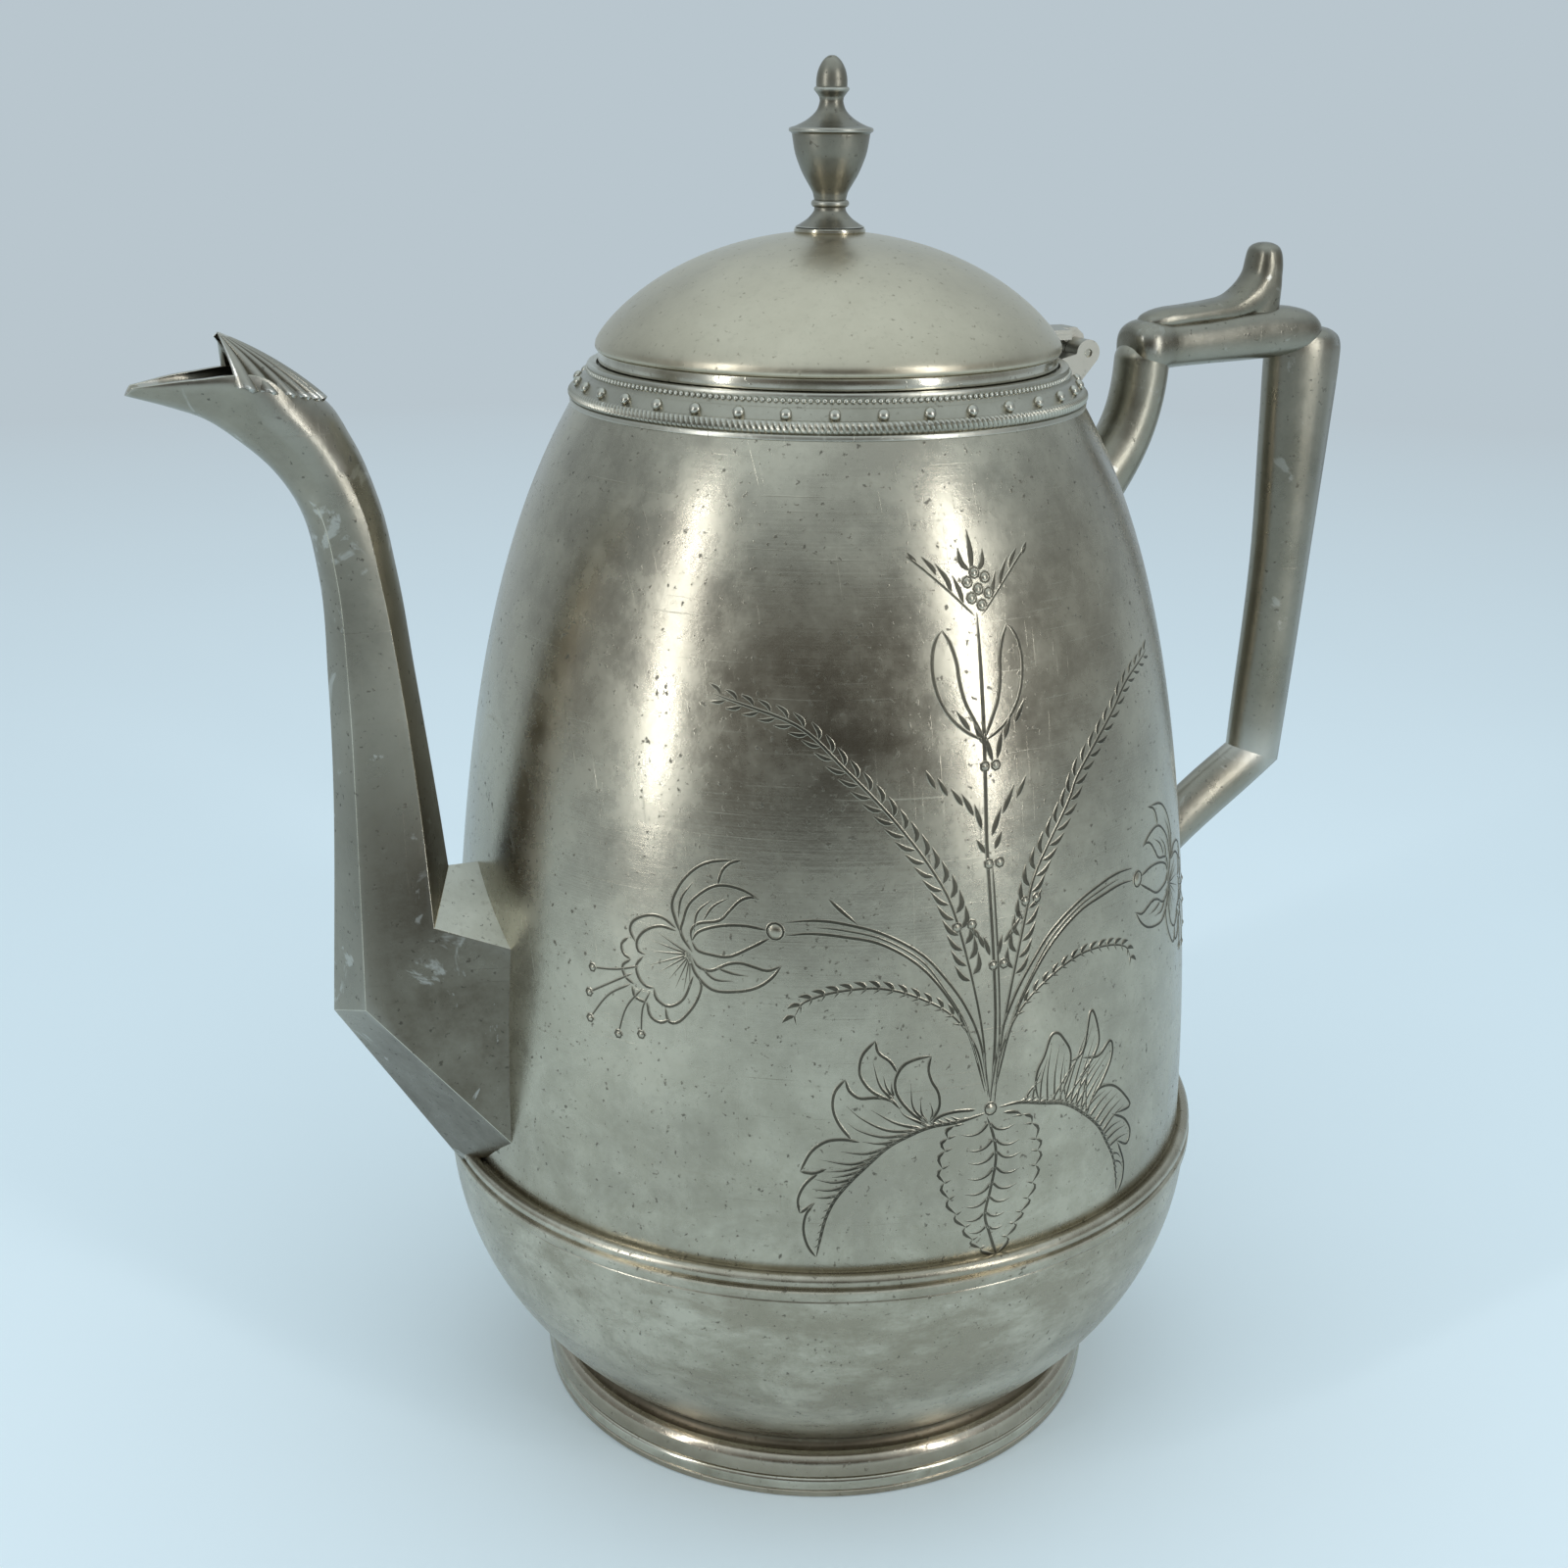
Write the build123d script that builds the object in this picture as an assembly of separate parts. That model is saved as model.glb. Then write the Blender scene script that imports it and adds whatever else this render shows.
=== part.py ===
"""A coffee pot of soldered pewter sheet and castings, in millimetres.

The pot stands on Z = 0 and its turning axis is Z. The spout points along -X.
The handle and the hinge of the lid lie along +X. Spun pieces are drawn as
outlines of (radius, height), and castings as sections along their run.
"""
from build123d import *

import os
from math import cos, pi, radians, sin, sqrt

# Body: an ovoid spun from sheet, standing in the lower bowl
body_low_radius = 79.1
body_top_radius = 50.8
body_bottom_height = 59.0
body_top_height = 215.5
body_wall = 1.2
body_early_curve = 0.68
shoulder_step = 4.2
shoulder_rise = 2.6
neck_rise = 6.5

# Lower bowl, with the rolled rim around the foot of the body
rim_height = 60.3
rim_land = 2.1
rim_bulge = 0.8
rim_bead = 5.1
bowl_depth = 69.0
bowl_wall = 1.4
bowl_floor_height = 9.2
bowl_floor_radius = 51.0

# Foot ring
foot_radius = 61.3
foot_wall = 3.6
foot_chamfer = 0.8
foot_plain_height = 4.1
foot_stripe = 3.1
foot_stripe_bulge = 0.4
foot_torus_top = 9.6
foot_torus_belly = 0.2
foot_torus_inset = 2.4
foot_cove_inset = 2.0
foot_cove_rise = 4.0
foot_seat_width = 1.0
foot_seat_drop = 1.4

# Collar around the neck, with its row of studs
collar_skirt = 0.3
collar_skirt_height = 1.0
collar_rope_middle = 2.0
collar_rope_proud = 0.6
collar_rope_top = 2.9
collar_cone_inset = 0.1
collar_cone_top = 5.0
collar_cone_proud = 2.2
collar_bead_foot = 5.6
collar_bead_foot_proud = 1.4
collar_bead_top_proud = 1.0
collar_lip_step = 0.2
collar_lip_rise = 1.1
collar_lip_inset = 0.9
collar_lip_proud = 0.6
stud_count = 36
stud_phase = 6.6
stud_radius = 1.0
stud_rise = 4.2
stud_proud = 0.9

# Seat ring inside the neck, and the lid that rests on it
seat_width = 3.0
seat_thickness = 1.6
seat_drop = 0.1
seat_gap = 0.3
lid_clearance = 0.9
flange_clearance = 0.8
flange_depth = 5.0
bezel_wall = 1.0
bezel_height = 3.2
dome_overhang = 1.2
dome_edge = 0.5
dome_height = 22.0
dome_wall = 1.1
dome_edge_wall = 1.65
dome_edge_tuck = 0.3

# Finial with its plate and nut
plate_radius = 7.0
plate_edge = 1.1
plate_seat = 1.6
plate_sink = 0.4
urn_radius = 8.15
urn_rim_height = 18.5
urn_rim_edge = 0.9
finial_height = 31.4
finial_foot_radius = 4.6
finial_foot_height = 0.9
stem_outline = [(3.2, 3.2), (3.5, 5.0)]
urn_outline = [(3.3, 6.4), (4.7, 9.2), (6.9, 14.2), (7.4, 16.9)]
urn_neck_outline = [(3.3, 19.5), (2.25, 23.1)]
cap_outline = [(3.35, 25.0), (3.35, 25.5), (2.6, 26.0)]
tip_outline = [(2.1, 29.2)]
finial_shank_radius = 1.6
shank_clearance = 0.05
nut_size = 4.0
nut_height = 2.8

# Hinge of three knuckles on one pin
pin_reach = 4.5
pin_radius = 0.9
pin_clearance = 0.05
pin_recess = 0.4
knuckle_radius = 2.7
knuckle_gap = 0.25
hinge_half_width = 8.0
centre_knuckle_half = 3.0
leaf_half_width = 7.0
leaf_thickness = 2.0
leaf_relief = 0.8
leaf_tongue_edge = 0.6
leaf_inner_share = 0.9
bracket_inner_proud = 0.8
bracket_outer_proud = 2.0
bracket_low = 0.6
bracket_cheek_drop = 1.4
bracket_foot_outline = [(1.6, 0.6), (1.9, 2.2), (0.8, 4.6)]
bracket_foot_top = 5.0

# Handle: heights are from the top of the body, reaches from its shoulder
bar_near = 19.4
bar_far = 71.4
bar_near_depth = 10.6
bar_far_depth = 6.6
bar_width = 12.4
bar_near_centre = 6.7
bar_far_centre = 7.2
bar_corner = 4.2
bar_far_corner = 3.0
bar_end_round = 2.6
grip_top_rise = 5.6
grip_top_reach = 64.1
grip_top_depth = 17.6
grip_top_width = 13.2
grip_mid_height = 172.0
grip_mid_reach = 63.1
grip_mid_depth = 13.8
grip_mid_width = 11.2
mitre_height = 128.0
mitre_reach = 60.2
mitre_depth = 13.9
mitre_width = 9.6
mitre_angle = -20.0
strut_height = 101.5
strut_depth = 10.8
strut_angle = -55.0
strut_root_sink = 3.5
grip_flat_share = 0.62
grip_ridge_share = 0.16
grip_back_share = 0.45

# Shank of the handle: reach, drop below the body's top, lean, depth and width
shank_width = 12.0
shank_top_round = 3.6
shank_stations = [
    (5.4, 29.0, -42.0, 17.0, 15.0),
    (12.2, 21.5, -40.0, 14.0, 13.2),
    (18.4, 13.2, -27.0, 12.2, shank_width),
    (21.9, 4.0, -12.0, 11.6, shank_width),
]
shank_top_reach = 23.0
shank_top_depth = 11.4

# Thumb rest on top of the handle
thumb_width = 9.0
thumb_height = 16.0
thumb_start = 5.4
thumb_finger = 35.2
thumb_sink = 3.6
thumb_lip = 0.6
thumb_edge_round = 1.6
thumb_ramp_reach = 16.6
thumb_ramp_rise = 4.1
thumb_bend_reach = 23.0
thumb_bend_rise = 8.0
thumb_tip_front = 3.4
thumb_tip_front_drop = 2.4
thumb_tip_back = 3.8
thumb_tip_back_drop = 2.9
thumb_back_bulge = 4.6
thumb_back_drop = 8.4
thumb_foot = 3.6

# Spout
spout_wall = 1.5
spout_root_inset = 7.1
spout_tip_lip = 1.4
spout_crease_share = 1.25
spout_side_share = 0.4
spout_block = 200.0
hood_length = 16.4
hood_half_width = 7.4
hood_peak_reach = 38.3
hood_peak_height = 232.9
hood_foot_reach = 36.9
hood_foot_height = 225.4
hood_slope = 13.0
hood_wall = 1.5
hood_rib_count = 13
hood_flute_depth = 0.8
hood_foot_share = 1.06
hood_peak_share = 0.05

# Strainer pierced in the body wall behind the spout
strainer_hole_radius = 2.1
strainer_pitch = 6.6
strainer_rows = 5
strainer_height = 96.0
strainer_drill_start = 7.0

# Sizes that follow from the ones above
neck_radius = body_top_radius - shoulder_step
neck_inner_radius = neck_radius - body_wall
neck_top = body_top_height + neck_rise
bowl_radius = body_low_radius + rim_land
rim_top = rim_height + rim_bead
collar_top = neck_top + collar_lip_rise
seat_top = neck_top - seat_drop
seat_inner_radius = neck_inner_radius - seat_width
bezel_radius = neck_radius - collar_lip_inset - lid_clearance
bezel_bottom = seat_top + seat_gap
bezel_top = bezel_bottom + bezel_height
flange_radius = seat_inner_radius - flange_clearance
dome_radius = bezel_radius + dome_overhang
dome_rim = bezel_top + dome_edge
dome_top = dome_rim + dome_height
plate_top = dome_top + plate_edge - plate_sink
pin_x = body_top_radius + pin_reach
pin_z = collar_top


def spun(*curves):
    """Spin a closed outline of (radius, height) curves about the pot's axis."""
    outline = Curve() + list(curves)
    return revolve(Plane.XZ * make_face(outline.edges()), Axis.Z)


def plate_in_xz(outline, half_width):
    """A plate whose side outline lies in the XZ plane, with the same width each side."""
    return extrude(Plane.XZ * outline, half_width, both=True)


def body_radius_at(height):
    """The body swells down from its mouth: slowly at first, then to a straight side."""
    share = (height - body_bottom_height) / (body_top_height - body_bottom_height)
    fall = body_early_curve * share**2 + (1 - body_early_curve) * share**6
    return body_low_radius - (body_low_radius - body_top_radius) * fall


def body_line(inset, steps=8):
    climb = body_top_height - body_bottom_height
    heights = [body_bottom_height + climb * step / steps for step in range(steps + 1)]
    return [(body_radius_at(height) - inset, height) for height in heights]


def body_core():
    """The solid inside the body's outer face, which trims what butts against it."""
    line = body_line(0)
    axis_low = (0, body_bottom_height)
    axis_high = (0, body_top_height)
    return spun(Spline(*line), Polyline(line[-1], axis_high, axis_low, line[0]))


def strainer():
    """Staggered rows of holes through the wall where the spout joins it."""
    drills = []
    for row in range(strainer_rows):
        rise = (row - (strainer_rows - 1) / 2) * strainer_pitch * sin(pi / 3)
        holes_in_row = 4 - row % 2
        for hole in range(holes_in_row):
            side = (hole - (holes_in_row - 1) / 2) * strainer_pitch
            place = (-body_low_radius + strainer_drill_start, side, strainer_height + rise)
            start = Plane(origin=place, z_dir=(-1, 0, 0))
            drills.append(start * extrude(Circle(strainer_hole_radius), strainer_drill_start + body_wall))
    return drills


def make_body_shell():
    outer = body_line(0)
    inner = body_line(body_wall)
    turn = body_top_height + shoulder_rise
    shell = spun(
        Line(inner[0], outer[0]),
        Spline(*outer),
        Polyline(
            outer[-1],
            (neck_radius, turn),
            (neck_radius, neck_top),
            (neck_inner_radius, neck_top),
            (neck_inner_radius, turn - body_wall / 2),
            inner[-1],
        ),
        Spline(*inner),
    )
    return shell - strainer()


def bowl_line(inset, low, steps=5):
    """The bowl's side is a quarter of an ellipse, from its floor up to the rim."""
    points = []
    for step in range(steps + 1):
        height = low + (rim_height - low) * step / steps
        sunk = (rim_height - height) / (bowl_depth - inset)
        points.append(((bowl_radius - inset) * sqrt(1 - sunk**2), height))
    return points


def bowl_skin():
    """The bowl's outer curves, floor and side."""
    side = bowl_line(0, bowl_floor_height)
    return [Line((0, bowl_floor_height), side[0]), Spline(*side)]


def rim_bead_arc():
    """The outer curve of the moulding that stands on the bowl's edge."""
    belly = (bowl_radius + rim_bulge, rim_height + rim_bead / 2)
    return ThreePointArc((bowl_radius, rim_height), belly, (bowl_radius - rim_bulge, rim_top))


def bowl_core():
    """The bowl filled to its rim, which trims the foot ring and the spout."""
    bead_top = (bowl_radius - rim_bulge, rim_top)
    fill = Polyline(bead_top, (0, rim_top), (0, bowl_floor_height))
    return spun(*bowl_skin(), rim_bead_arc(), fill)


def make_lower_bowl():
    hollow = bowl_line(bowl_wall, bowl_floor_height + bowl_wall)
    return spun(
        *bowl_skin(),
        Line((bowl_radius, rim_height), hollow[-1]),
        Spline(*hollow),
        Polyline(hollow[0], (0, bowl_floor_height + bowl_wall), (0, bowl_floor_height)),
    )


def make_bowl_rim():
    """The half-round moulding soldered on the bowl's edge, which holds the body's foot."""
    groove = (body_low_radius, rim_top - rim_bulge)
    foot = (body_low_radius, rim_height)
    seat = Polyline((bowl_radius - rim_bulge, rim_top), groove, foot, (bowl_radius, rim_height))
    return spun(rim_bead_arc(), seat)


def make_foot_ring():
    """A ring with a polished stripe and a torus, coved in under the bowl."""
    inner = foot_radius - foot_wall
    seat_inner = bowl_floor_radius - foot_seat_width
    stripe_top = foot_plain_height + foot_stripe
    cove_top = foot_torus_top + foot_cove_rise
    torus_edge = (foot_radius - foot_torus_inset, foot_torus_top)
    ring = spun(
        Polyline((inner, 0), (foot_radius - foot_chamfer, 0), (foot_radius, foot_chamfer)),
        Line((foot_radius, foot_chamfer), (foot_radius, foot_plain_height)),
        ThreePointArc(
            (foot_radius, foot_plain_height),
            (foot_radius + foot_stripe_bulge, foot_plain_height + foot_stripe / 2),
            (foot_radius, stripe_top),
        ),
        ThreePointArc(
            (foot_radius, stripe_top),
            (foot_radius - foot_torus_belly, (stripe_top + foot_torus_top) / 2),
            torus_edge,
        ),
        Polyline(
            torus_edge,
            (foot_radius - foot_cove_inset, cove_top),
            (seat_inner, cove_top),
            (seat_inner, bowl_floor_height - foot_seat_drop),
            (inner, foot_plain_height),
            (inner, 0),
        ),
    )
    return ring - bowl_core()


def make_collar_ring():
    """The roped bulge, the cone for the studs and the lip, as one turned ring."""
    low = body_top_height
    foot = body_top_radius + collar_skirt
    skirt_top = (foot, low + collar_skirt_height)
    rope_belly = (body_top_radius + collar_rope_proud, low + collar_rope_middle)
    rope_top = (body_top_radius - collar_cone_inset, low + collar_rope_top)
    cone_top = (neck_radius + collar_cone_proud, low + collar_cone_top)
    bead_foot = (neck_radius + collar_bead_foot_proud, low + collar_bead_foot)
    bead_top = (neck_radius + collar_bead_top_proud, neck_top)
    lip = neck_radius + collar_lip_proud
    lip_inner = neck_radius - collar_lip_inset
    return spun(
        Polyline((body_top_radius, low), (foot, low), skirt_top),
        ThreePointArc(skirt_top, rope_belly, rope_top),
        Polyline(
            rope_top,
            cone_top,
            bead_foot,
            bead_top,
            (lip, neck_top + collar_lip_step),
            (lip, collar_top),
            (lip_inner, collar_top),
            (lip_inner, neck_top),
            (neck_radius, neck_top),
            (neck_radius, low + shoulder_rise),
            (body_top_radius, low),
        ),
    )


def collar_core():
    """The collar filled to the pot's axis, which trims the hinge bracket and the shank."""
    low = body_top_height
    turn = (neck_radius, low + shoulder_rise)
    top = (neck_radius, collar_top)
    fill = Polyline((0, low), (body_top_radius, low), turn, top, (0, collar_top), (0, low))
    return make_collar_ring() + spun(fill)


def make_collar_band():
    """The collar with its studs, which leave out the width of the hinge bracket."""
    ring = make_collar_ring()
    reach = neck_radius + collar_cone_proud + stud_proud
    studs = []
    for number in range(stud_count):
        turn = radians(stud_phase + 360 / stud_count * number)
        x = reach * cos(turn)
        y = reach * sin(turn)
        under_hinge = x > 0 and abs(y) < hinge_half_width + stud_radius
        if not under_hinge:
            studs.append(Pos(x, y, body_top_height + stud_rise) * Sphere(stud_radius))
    return ring + studs


def make_lid_seat_ring():
    low = seat_top - seat_thickness
    return spun(
        Polyline(
            (seat_inner_radius, low),
            (neck_inner_radius, low),
            (neck_inner_radius, seat_top),
            (seat_inner_radius, seat_top),
            (seat_inner_radius, low),
        )
    )


def make_lid_bezel():
    """The polished band under the dome, with the flange that drops into the neck."""
    low = bezel_bottom - flange_depth
    inside = bezel_radius - bezel_wall
    return spun(
        Polyline(
            (flange_radius, low),
            (flange_radius, bezel_bottom),
            (bezel_radius, bezel_bottom),
            (bezel_radius, bezel_top),
            (inside, bezel_top),
            (inside, bezel_bottom + bezel_wall),
            (flange_radius - bezel_wall, bezel_bottom + bezel_wall),
            (flange_radius - bezel_wall, low),
            (flange_radius, low),
        )
    )


def dome_arc(radius, low, top):
    """An arc from the edge of the lid up to the pot's axis, square to it."""
    rise = top - low
    sphere = (radius**2 + rise**2) / (2 * rise)
    middle = radius / 2
    return ThreePointArc((radius, low), (middle, top - sphere + sqrt(sphere**2 - middle**2)), (0, top))


def dome_core():
    """The lid filled, which trims the plate and the hinge leaf that lie on it."""
    outer = dome_arc(dome_radius, dome_rim, dome_top)
    return spun(
        outer,
        Polyline(
            (0, dome_top),
            (0, bezel_top),
            (dome_radius - dome_edge_tuck, bezel_top),
            (dome_radius, dome_rim),
        ),
    )


def finial_bore():
    return Pos(0, 0, dome_top) * Cylinder(finial_shank_radius + shank_clearance, 4 * dome_wall)


def make_lid_dome():
    inside_radius = dome_radius - dome_edge_wall
    hollow = spun(
        dome_arc(inside_radius, bezel_top, dome_top - dome_wall),
        Polyline((0, dome_top - dome_wall), (0, bezel_top), (inside_radius, bezel_top)),
    )
    return dome_core() - hollow - finial_bore()


def make_finial_plate():
    low = dome_top - plate_seat
    plate = extrude(Plane.XY.offset(low) * Circle(plate_radius), plate_top - low)
    return plate - dome_core() - finial_bore()


def above_plate(*outline):
    """Points of the finial, given as radius and height above its plate."""
    return [(radius, plate_top + height) for radius, height in outline]


def make_finial():
    """A turned urn on a bead, with a narrow neck, a cap and a drop-shaped tip."""
    shank_low = dome_top - dome_wall - nut_height
    shank_top = (finial_shank_radius, plate_top)
    foot_low, foot_top = above_plate((finial_foot_radius, 0), (finial_foot_radius, finial_foot_height))
    stem = above_plate(*stem_outline)
    urn = above_plate(*urn_outline)
    rim_low, rim = above_plate((urn_radius, urn_rim_height - urn_rim_edge), (urn_radius, urn_rim_height))
    neck = above_plate(*urn_neck_outline)
    cap = above_plate(*cap_outline)
    tip = above_plate(*tip_outline, (0, finial_height))
    return spun(
        Polyline((0, shank_low), (finial_shank_radius, shank_low), shank_top, foot_low, foot_top),
        Spline(foot_top, *stem),
        Spline(stem[-1], *urn),
        Polyline(urn[-1], rim_low, rim),
        Spline(rim, *neck),
        Polyline(neck[-1], *cap),
        Spline(cap[-1], *tip),
        Line(tip[-1], (0, shank_low)),
    )


def make_finial_nut(dome):
    inside = dome_top - dome_wall
    low = inside - nut_height
    nut = Pos(0, 0, low) * extrude(RegularPolygon(nut_size, 6), nut_height)
    return nut - dome - Pos(0, 0, low) * Cylinder(finial_shank_radius, 4 * nut_height)


def knuckle(start, end):
    """A stretch of the hinge barrel between two places along Y."""
    plane = Plane(origin=(pin_x, start, pin_z), z_dir=(0, 1, 0))
    return plane * extrude(Circle(knuckle_radius), end - start)


def pin_hole(radius):
    plane = Plane(origin=(pin_x, -2 * hinge_half_width, pin_z), z_dir=(0, 1, 0))
    return plane * extrude(Circle(radius), 4 * hinge_half_width)


def make_hinge_pin():
    half = hinge_half_width - pin_recess
    plane = Plane(origin=(pin_x, -half, pin_z), z_dir=(0, 1, 0))
    return plane * extrude(Circle(pin_radius), 2 * half)


def make_hinge_lid_leaf():
    """A leaf on the edge of the dome, narrowed to the centre knuckle."""
    low = pin_z + knuckle_radius
    top = low + leaf_thickness
    wide_end = pin_x - knuckle_radius - leaf_relief
    inner_end = dome_radius * leaf_inner_share
    wide = Polyline(
        (inner_end, low), (wide_end, low), (wide_end, top), (inner_end, top), (inner_end, low)
    )
    narrow = Polyline(
        (wide_end, low),
        (pin_x - knuckle_radius * 0.8, pin_z + knuckle_radius * 0.6),
        (pin_x, pin_z + knuckle_radius * 0.5),
        (pin_x + knuckle_radius * 0.8, pin_z + knuckle_radius * 0.6),
        (pin_x + knuckle_radius * 0.6, low + leaf_tongue_edge),
        (pin_x, top),
        (wide_end, top),
        (wide_end, low),
    )
    leaf = plate_in_xz(make_face(wide), leaf_half_width)
    leaf += plate_in_xz(make_face(narrow), centre_knuckle_half)
    leaf += knuckle(-centre_knuckle_half, centre_knuckle_half)
    return leaf - dome_core() - pin_hole(pin_radius + pin_clearance)


def make_hinge_body_bracket(collar):
    """Two outer knuckles on cheeks, with a foot that hugs the collar."""
    inner = centre_knuckle_half + knuckle_gap
    back = neck_radius + bracket_inner_proud
    low = body_top_height + bracket_low
    cheek = Polyline(
        (pin_x - knuckle_radius * 0.9, pin_z),
        (back, collar_top - bracket_cheek_drop),
        (back, low),
        (body_top_radius + bracket_outer_proud, low),
        (pin_x + knuckle_radius * 0.8, pin_z - knuckle_radius * 0.6),
        (pin_x - knuckle_radius * 0.9, pin_z),
    )
    front = [(body_top_radius + proud, body_top_height + rise) for proud, rise in bracket_foot_outline]
    foot = Polyline((back, low), *front, (back, body_top_height + bracket_foot_top), (back, low))
    bracket = plate_in_xz(make_face(foot), hinge_half_width)
    cheeks = plate_in_xz(make_face(cheek), hinge_half_width)
    bracket += cheeks - plate_in_xz(make_face(cheek), inner)
    bracket += knuckle(-hinge_half_width, -inner)
    bracket += knuckle(inner, hinge_half_width)
    return bracket - collar - body_core() - pin_hole(pin_radius)


def run_plane(reach, height, angle):
    """A plane across the handle's run; its X leans by angle from the outward direction."""
    lean = radians(angle)
    return Plane(
        origin=(body_top_radius + reach, 0, height),
        x_dir=(cos(lean), 0, sin(lean)),
        z_dir=(-sin(lean), 0, cos(lean)),
    )


def grip_section(reach, height, angle, depth, width):
    """Six sides: a flat towards the hand's inside, a ridge each side, a narrow back."""
    half = width / 2
    return run_plane(reach, height, angle) * Polygon(
        (-depth / 2, -half * grip_flat_share),
        (depth * grip_ridge_share, -half),
        (depth / 2, -half * grip_back_share),
        (depth / 2, half * grip_back_share),
        (depth * grip_ridge_share, half),
        (-depth / 2, half * grip_flat_share),
        align=None,
    )


def mitre_section():
    return grip_section(mitre_reach, mitre_height, mitre_angle, mitre_depth, mitre_width)


def make_handle_post():
    top = body_top_height + grip_top_rise
    sections = [
        mitre_section(),
        grip_section(grip_mid_reach, grip_mid_height, 0, grip_mid_depth, grip_mid_width),
        grip_section(grip_top_reach, top, 0, grip_top_depth, grip_top_width),
    ]
    return loft(sections)


def make_handle_lower_strut(body):
    """From the mitre under the grip, slanting down to the side of the body."""
    root_reach = body_radius_at(strut_height) - body_top_radius - strut_root_sink
    root = grip_section(root_reach, strut_height, strut_angle, strut_depth, mitre_width)
    return loft([root, mitre_section()]) - body


def make_handle_shank(body, collar):
    """An S-shaped socket, wide at its root on the shoulder and domed at its top."""
    top = body_top_height + bar_near_centre + bar_near_depth / 2 - thumb_sink
    sections = [
        run_plane(reach, body_top_height - drop, angle) * Ellipse(depth / 2, width / 2)
        for reach, drop, angle, depth, width in shank_stations
    ]
    crown_plane = run_plane(shank_top_reach, top, 0)
    shank = loft(sections + [crown_plane * Ellipse(shank_top_depth / 2, shank_width / 2)])
    crown = shank.faces().sort_by(Axis.Z)[-1]
    shank = fillet(crown.edges(), shank_top_round)
    return shank - body - collar


def bar_section(reach, height, depth, corner):
    place = Plane(origin=(body_top_radius + reach, 0, height), x_dir=(0, 1, 0), z_dir=(1, 0, 0))
    return place * RectangleRounded(bar_width, depth, corner)


def make_bar_blank():
    near = bar_section(bar_near, body_top_height + bar_near_centre, bar_near_depth, bar_corner)
    far = bar_section(bar_far, body_top_height + bar_far_centre, bar_far_depth, bar_far_corner)
    blank = loft([near, far])
    ends = blank.faces().filter_by(Axis.X)
    return fillet(ends.edges(), bar_end_round)


def make_thumb_rest(bar):
    """A tongue that runs up along the bar and stands up as a rounded finger."""
    bar_top = body_top_height + bar_near_centre + bar_near_depth / 2
    start = body_top_radius + bar_near + thumb_start
    finger = body_top_radius + bar_near + thumb_finger
    tip = bar_top + thumb_height
    low = bar_top - thumb_sink
    lip = (start, bar_top + thumb_lip)
    ramp = (start + thumb_ramp_reach, bar_top + thumb_ramp_rise)
    bend = (start + thumb_bend_reach, bar_top + thumb_bend_rise)
    tip_front = (finger - thumb_tip_front, tip - thumb_tip_front_drop)
    tip_back = (finger + thumb_tip_back, tip - thumb_tip_back_drop)
    back = (finger + thumb_back_bulge, tip - thumb_back_drop)
    foot = (finger + thumb_foot, low)
    side = make_face(
        Curve()
        + [
            Line((start, low), lip),
            Spline(lip, ramp, bend, tip_front),
            ThreePointArc(tip_front, (finger, tip), tip_back),
            Spline(tip_back, back, foot),
            Line(foot, (start, low)),
        ]
    )
    rest = plate_in_xz(side, thumb_width / 2)
    crown = rest.edges().filter_by(GeomType.LINE, reverse=True)
    rest = fillet(crown, thumb_edge_round)
    return rest - bar


def spout_section(back, front, creases, swell=0.0, inset=0.0, lift=0.0):
    """Six sides across the spout, between its rear ridge and its front keel.

    back and front are (reach, height) of ridge and keel, with reach measured from
    the body's side. creases are (share, half_width) of the rear and front pair.
    swell bends the sides outward, inset draws them in, and lift raises the ridge.
    """
    ridge = Vector(-body_low_radius - back[0], 0, back[1])
    keel = Vector(-body_low_radius - front[0], 0, front[1])
    across = keel - ridge
    depth = across.length
    place = Plane(origin=ridge, x_dir=across, z_dir=Vector(0, 1, 0).cross(across))
    (rear_share, rear_half), (front_share, front_half) = creases
    first = inset * spout_crease_share if lift == 0 else -lift
    last = depth - inset * spout_crease_share
    rear_shift = inset * spout_side_share if lift == 0 else -lift
    rear = max(first, depth * rear_share + rear_shift)
    fore = depth * front_share - inset * spout_side_share
    corners = [
        Vector(first, 0),
        Vector(rear, rear_half - inset),
        Vector(fore, front_half - inset),
        Vector(last, 0),
        Vector(fore, inset - front_half),
        Vector(rear, inset - rear_half),
    ]
    middle = Vector((first + last) / 2, 0)
    sides = []
    for number, corner in enumerate(corners):
        following = corners[(number + 1) % len(corners)]
        half_way = (corner + following) / 2
        flat_top = rear_share < 0.1 and number in (0, 5)
        bend = 0 if flat_top else swell
        if bend == 0:
            sides.append(Line(corner, following))
        else:
            bulge = (half_way - middle).normalized() * (following - corner).length * bend
            sides.append(ThreePointArc(corner, half_way + bulge, following))
    return place * make_face(Curve() + sides)


root_section = ((-spout_root_inset, 127.7), (-spout_root_inset, 46.0), ((0.155, 19.0), (0.71, 21.4)))
elbow_section = ((2.3, 127.9), (26.7, 100.8), ((0.27, 13.2), (0.84, 12.0)))
neck_foot_section = ((4.1, 145.0), (23.9, 145.0), ((0.27, 8.8), (0.87, 8.0)))

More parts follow.
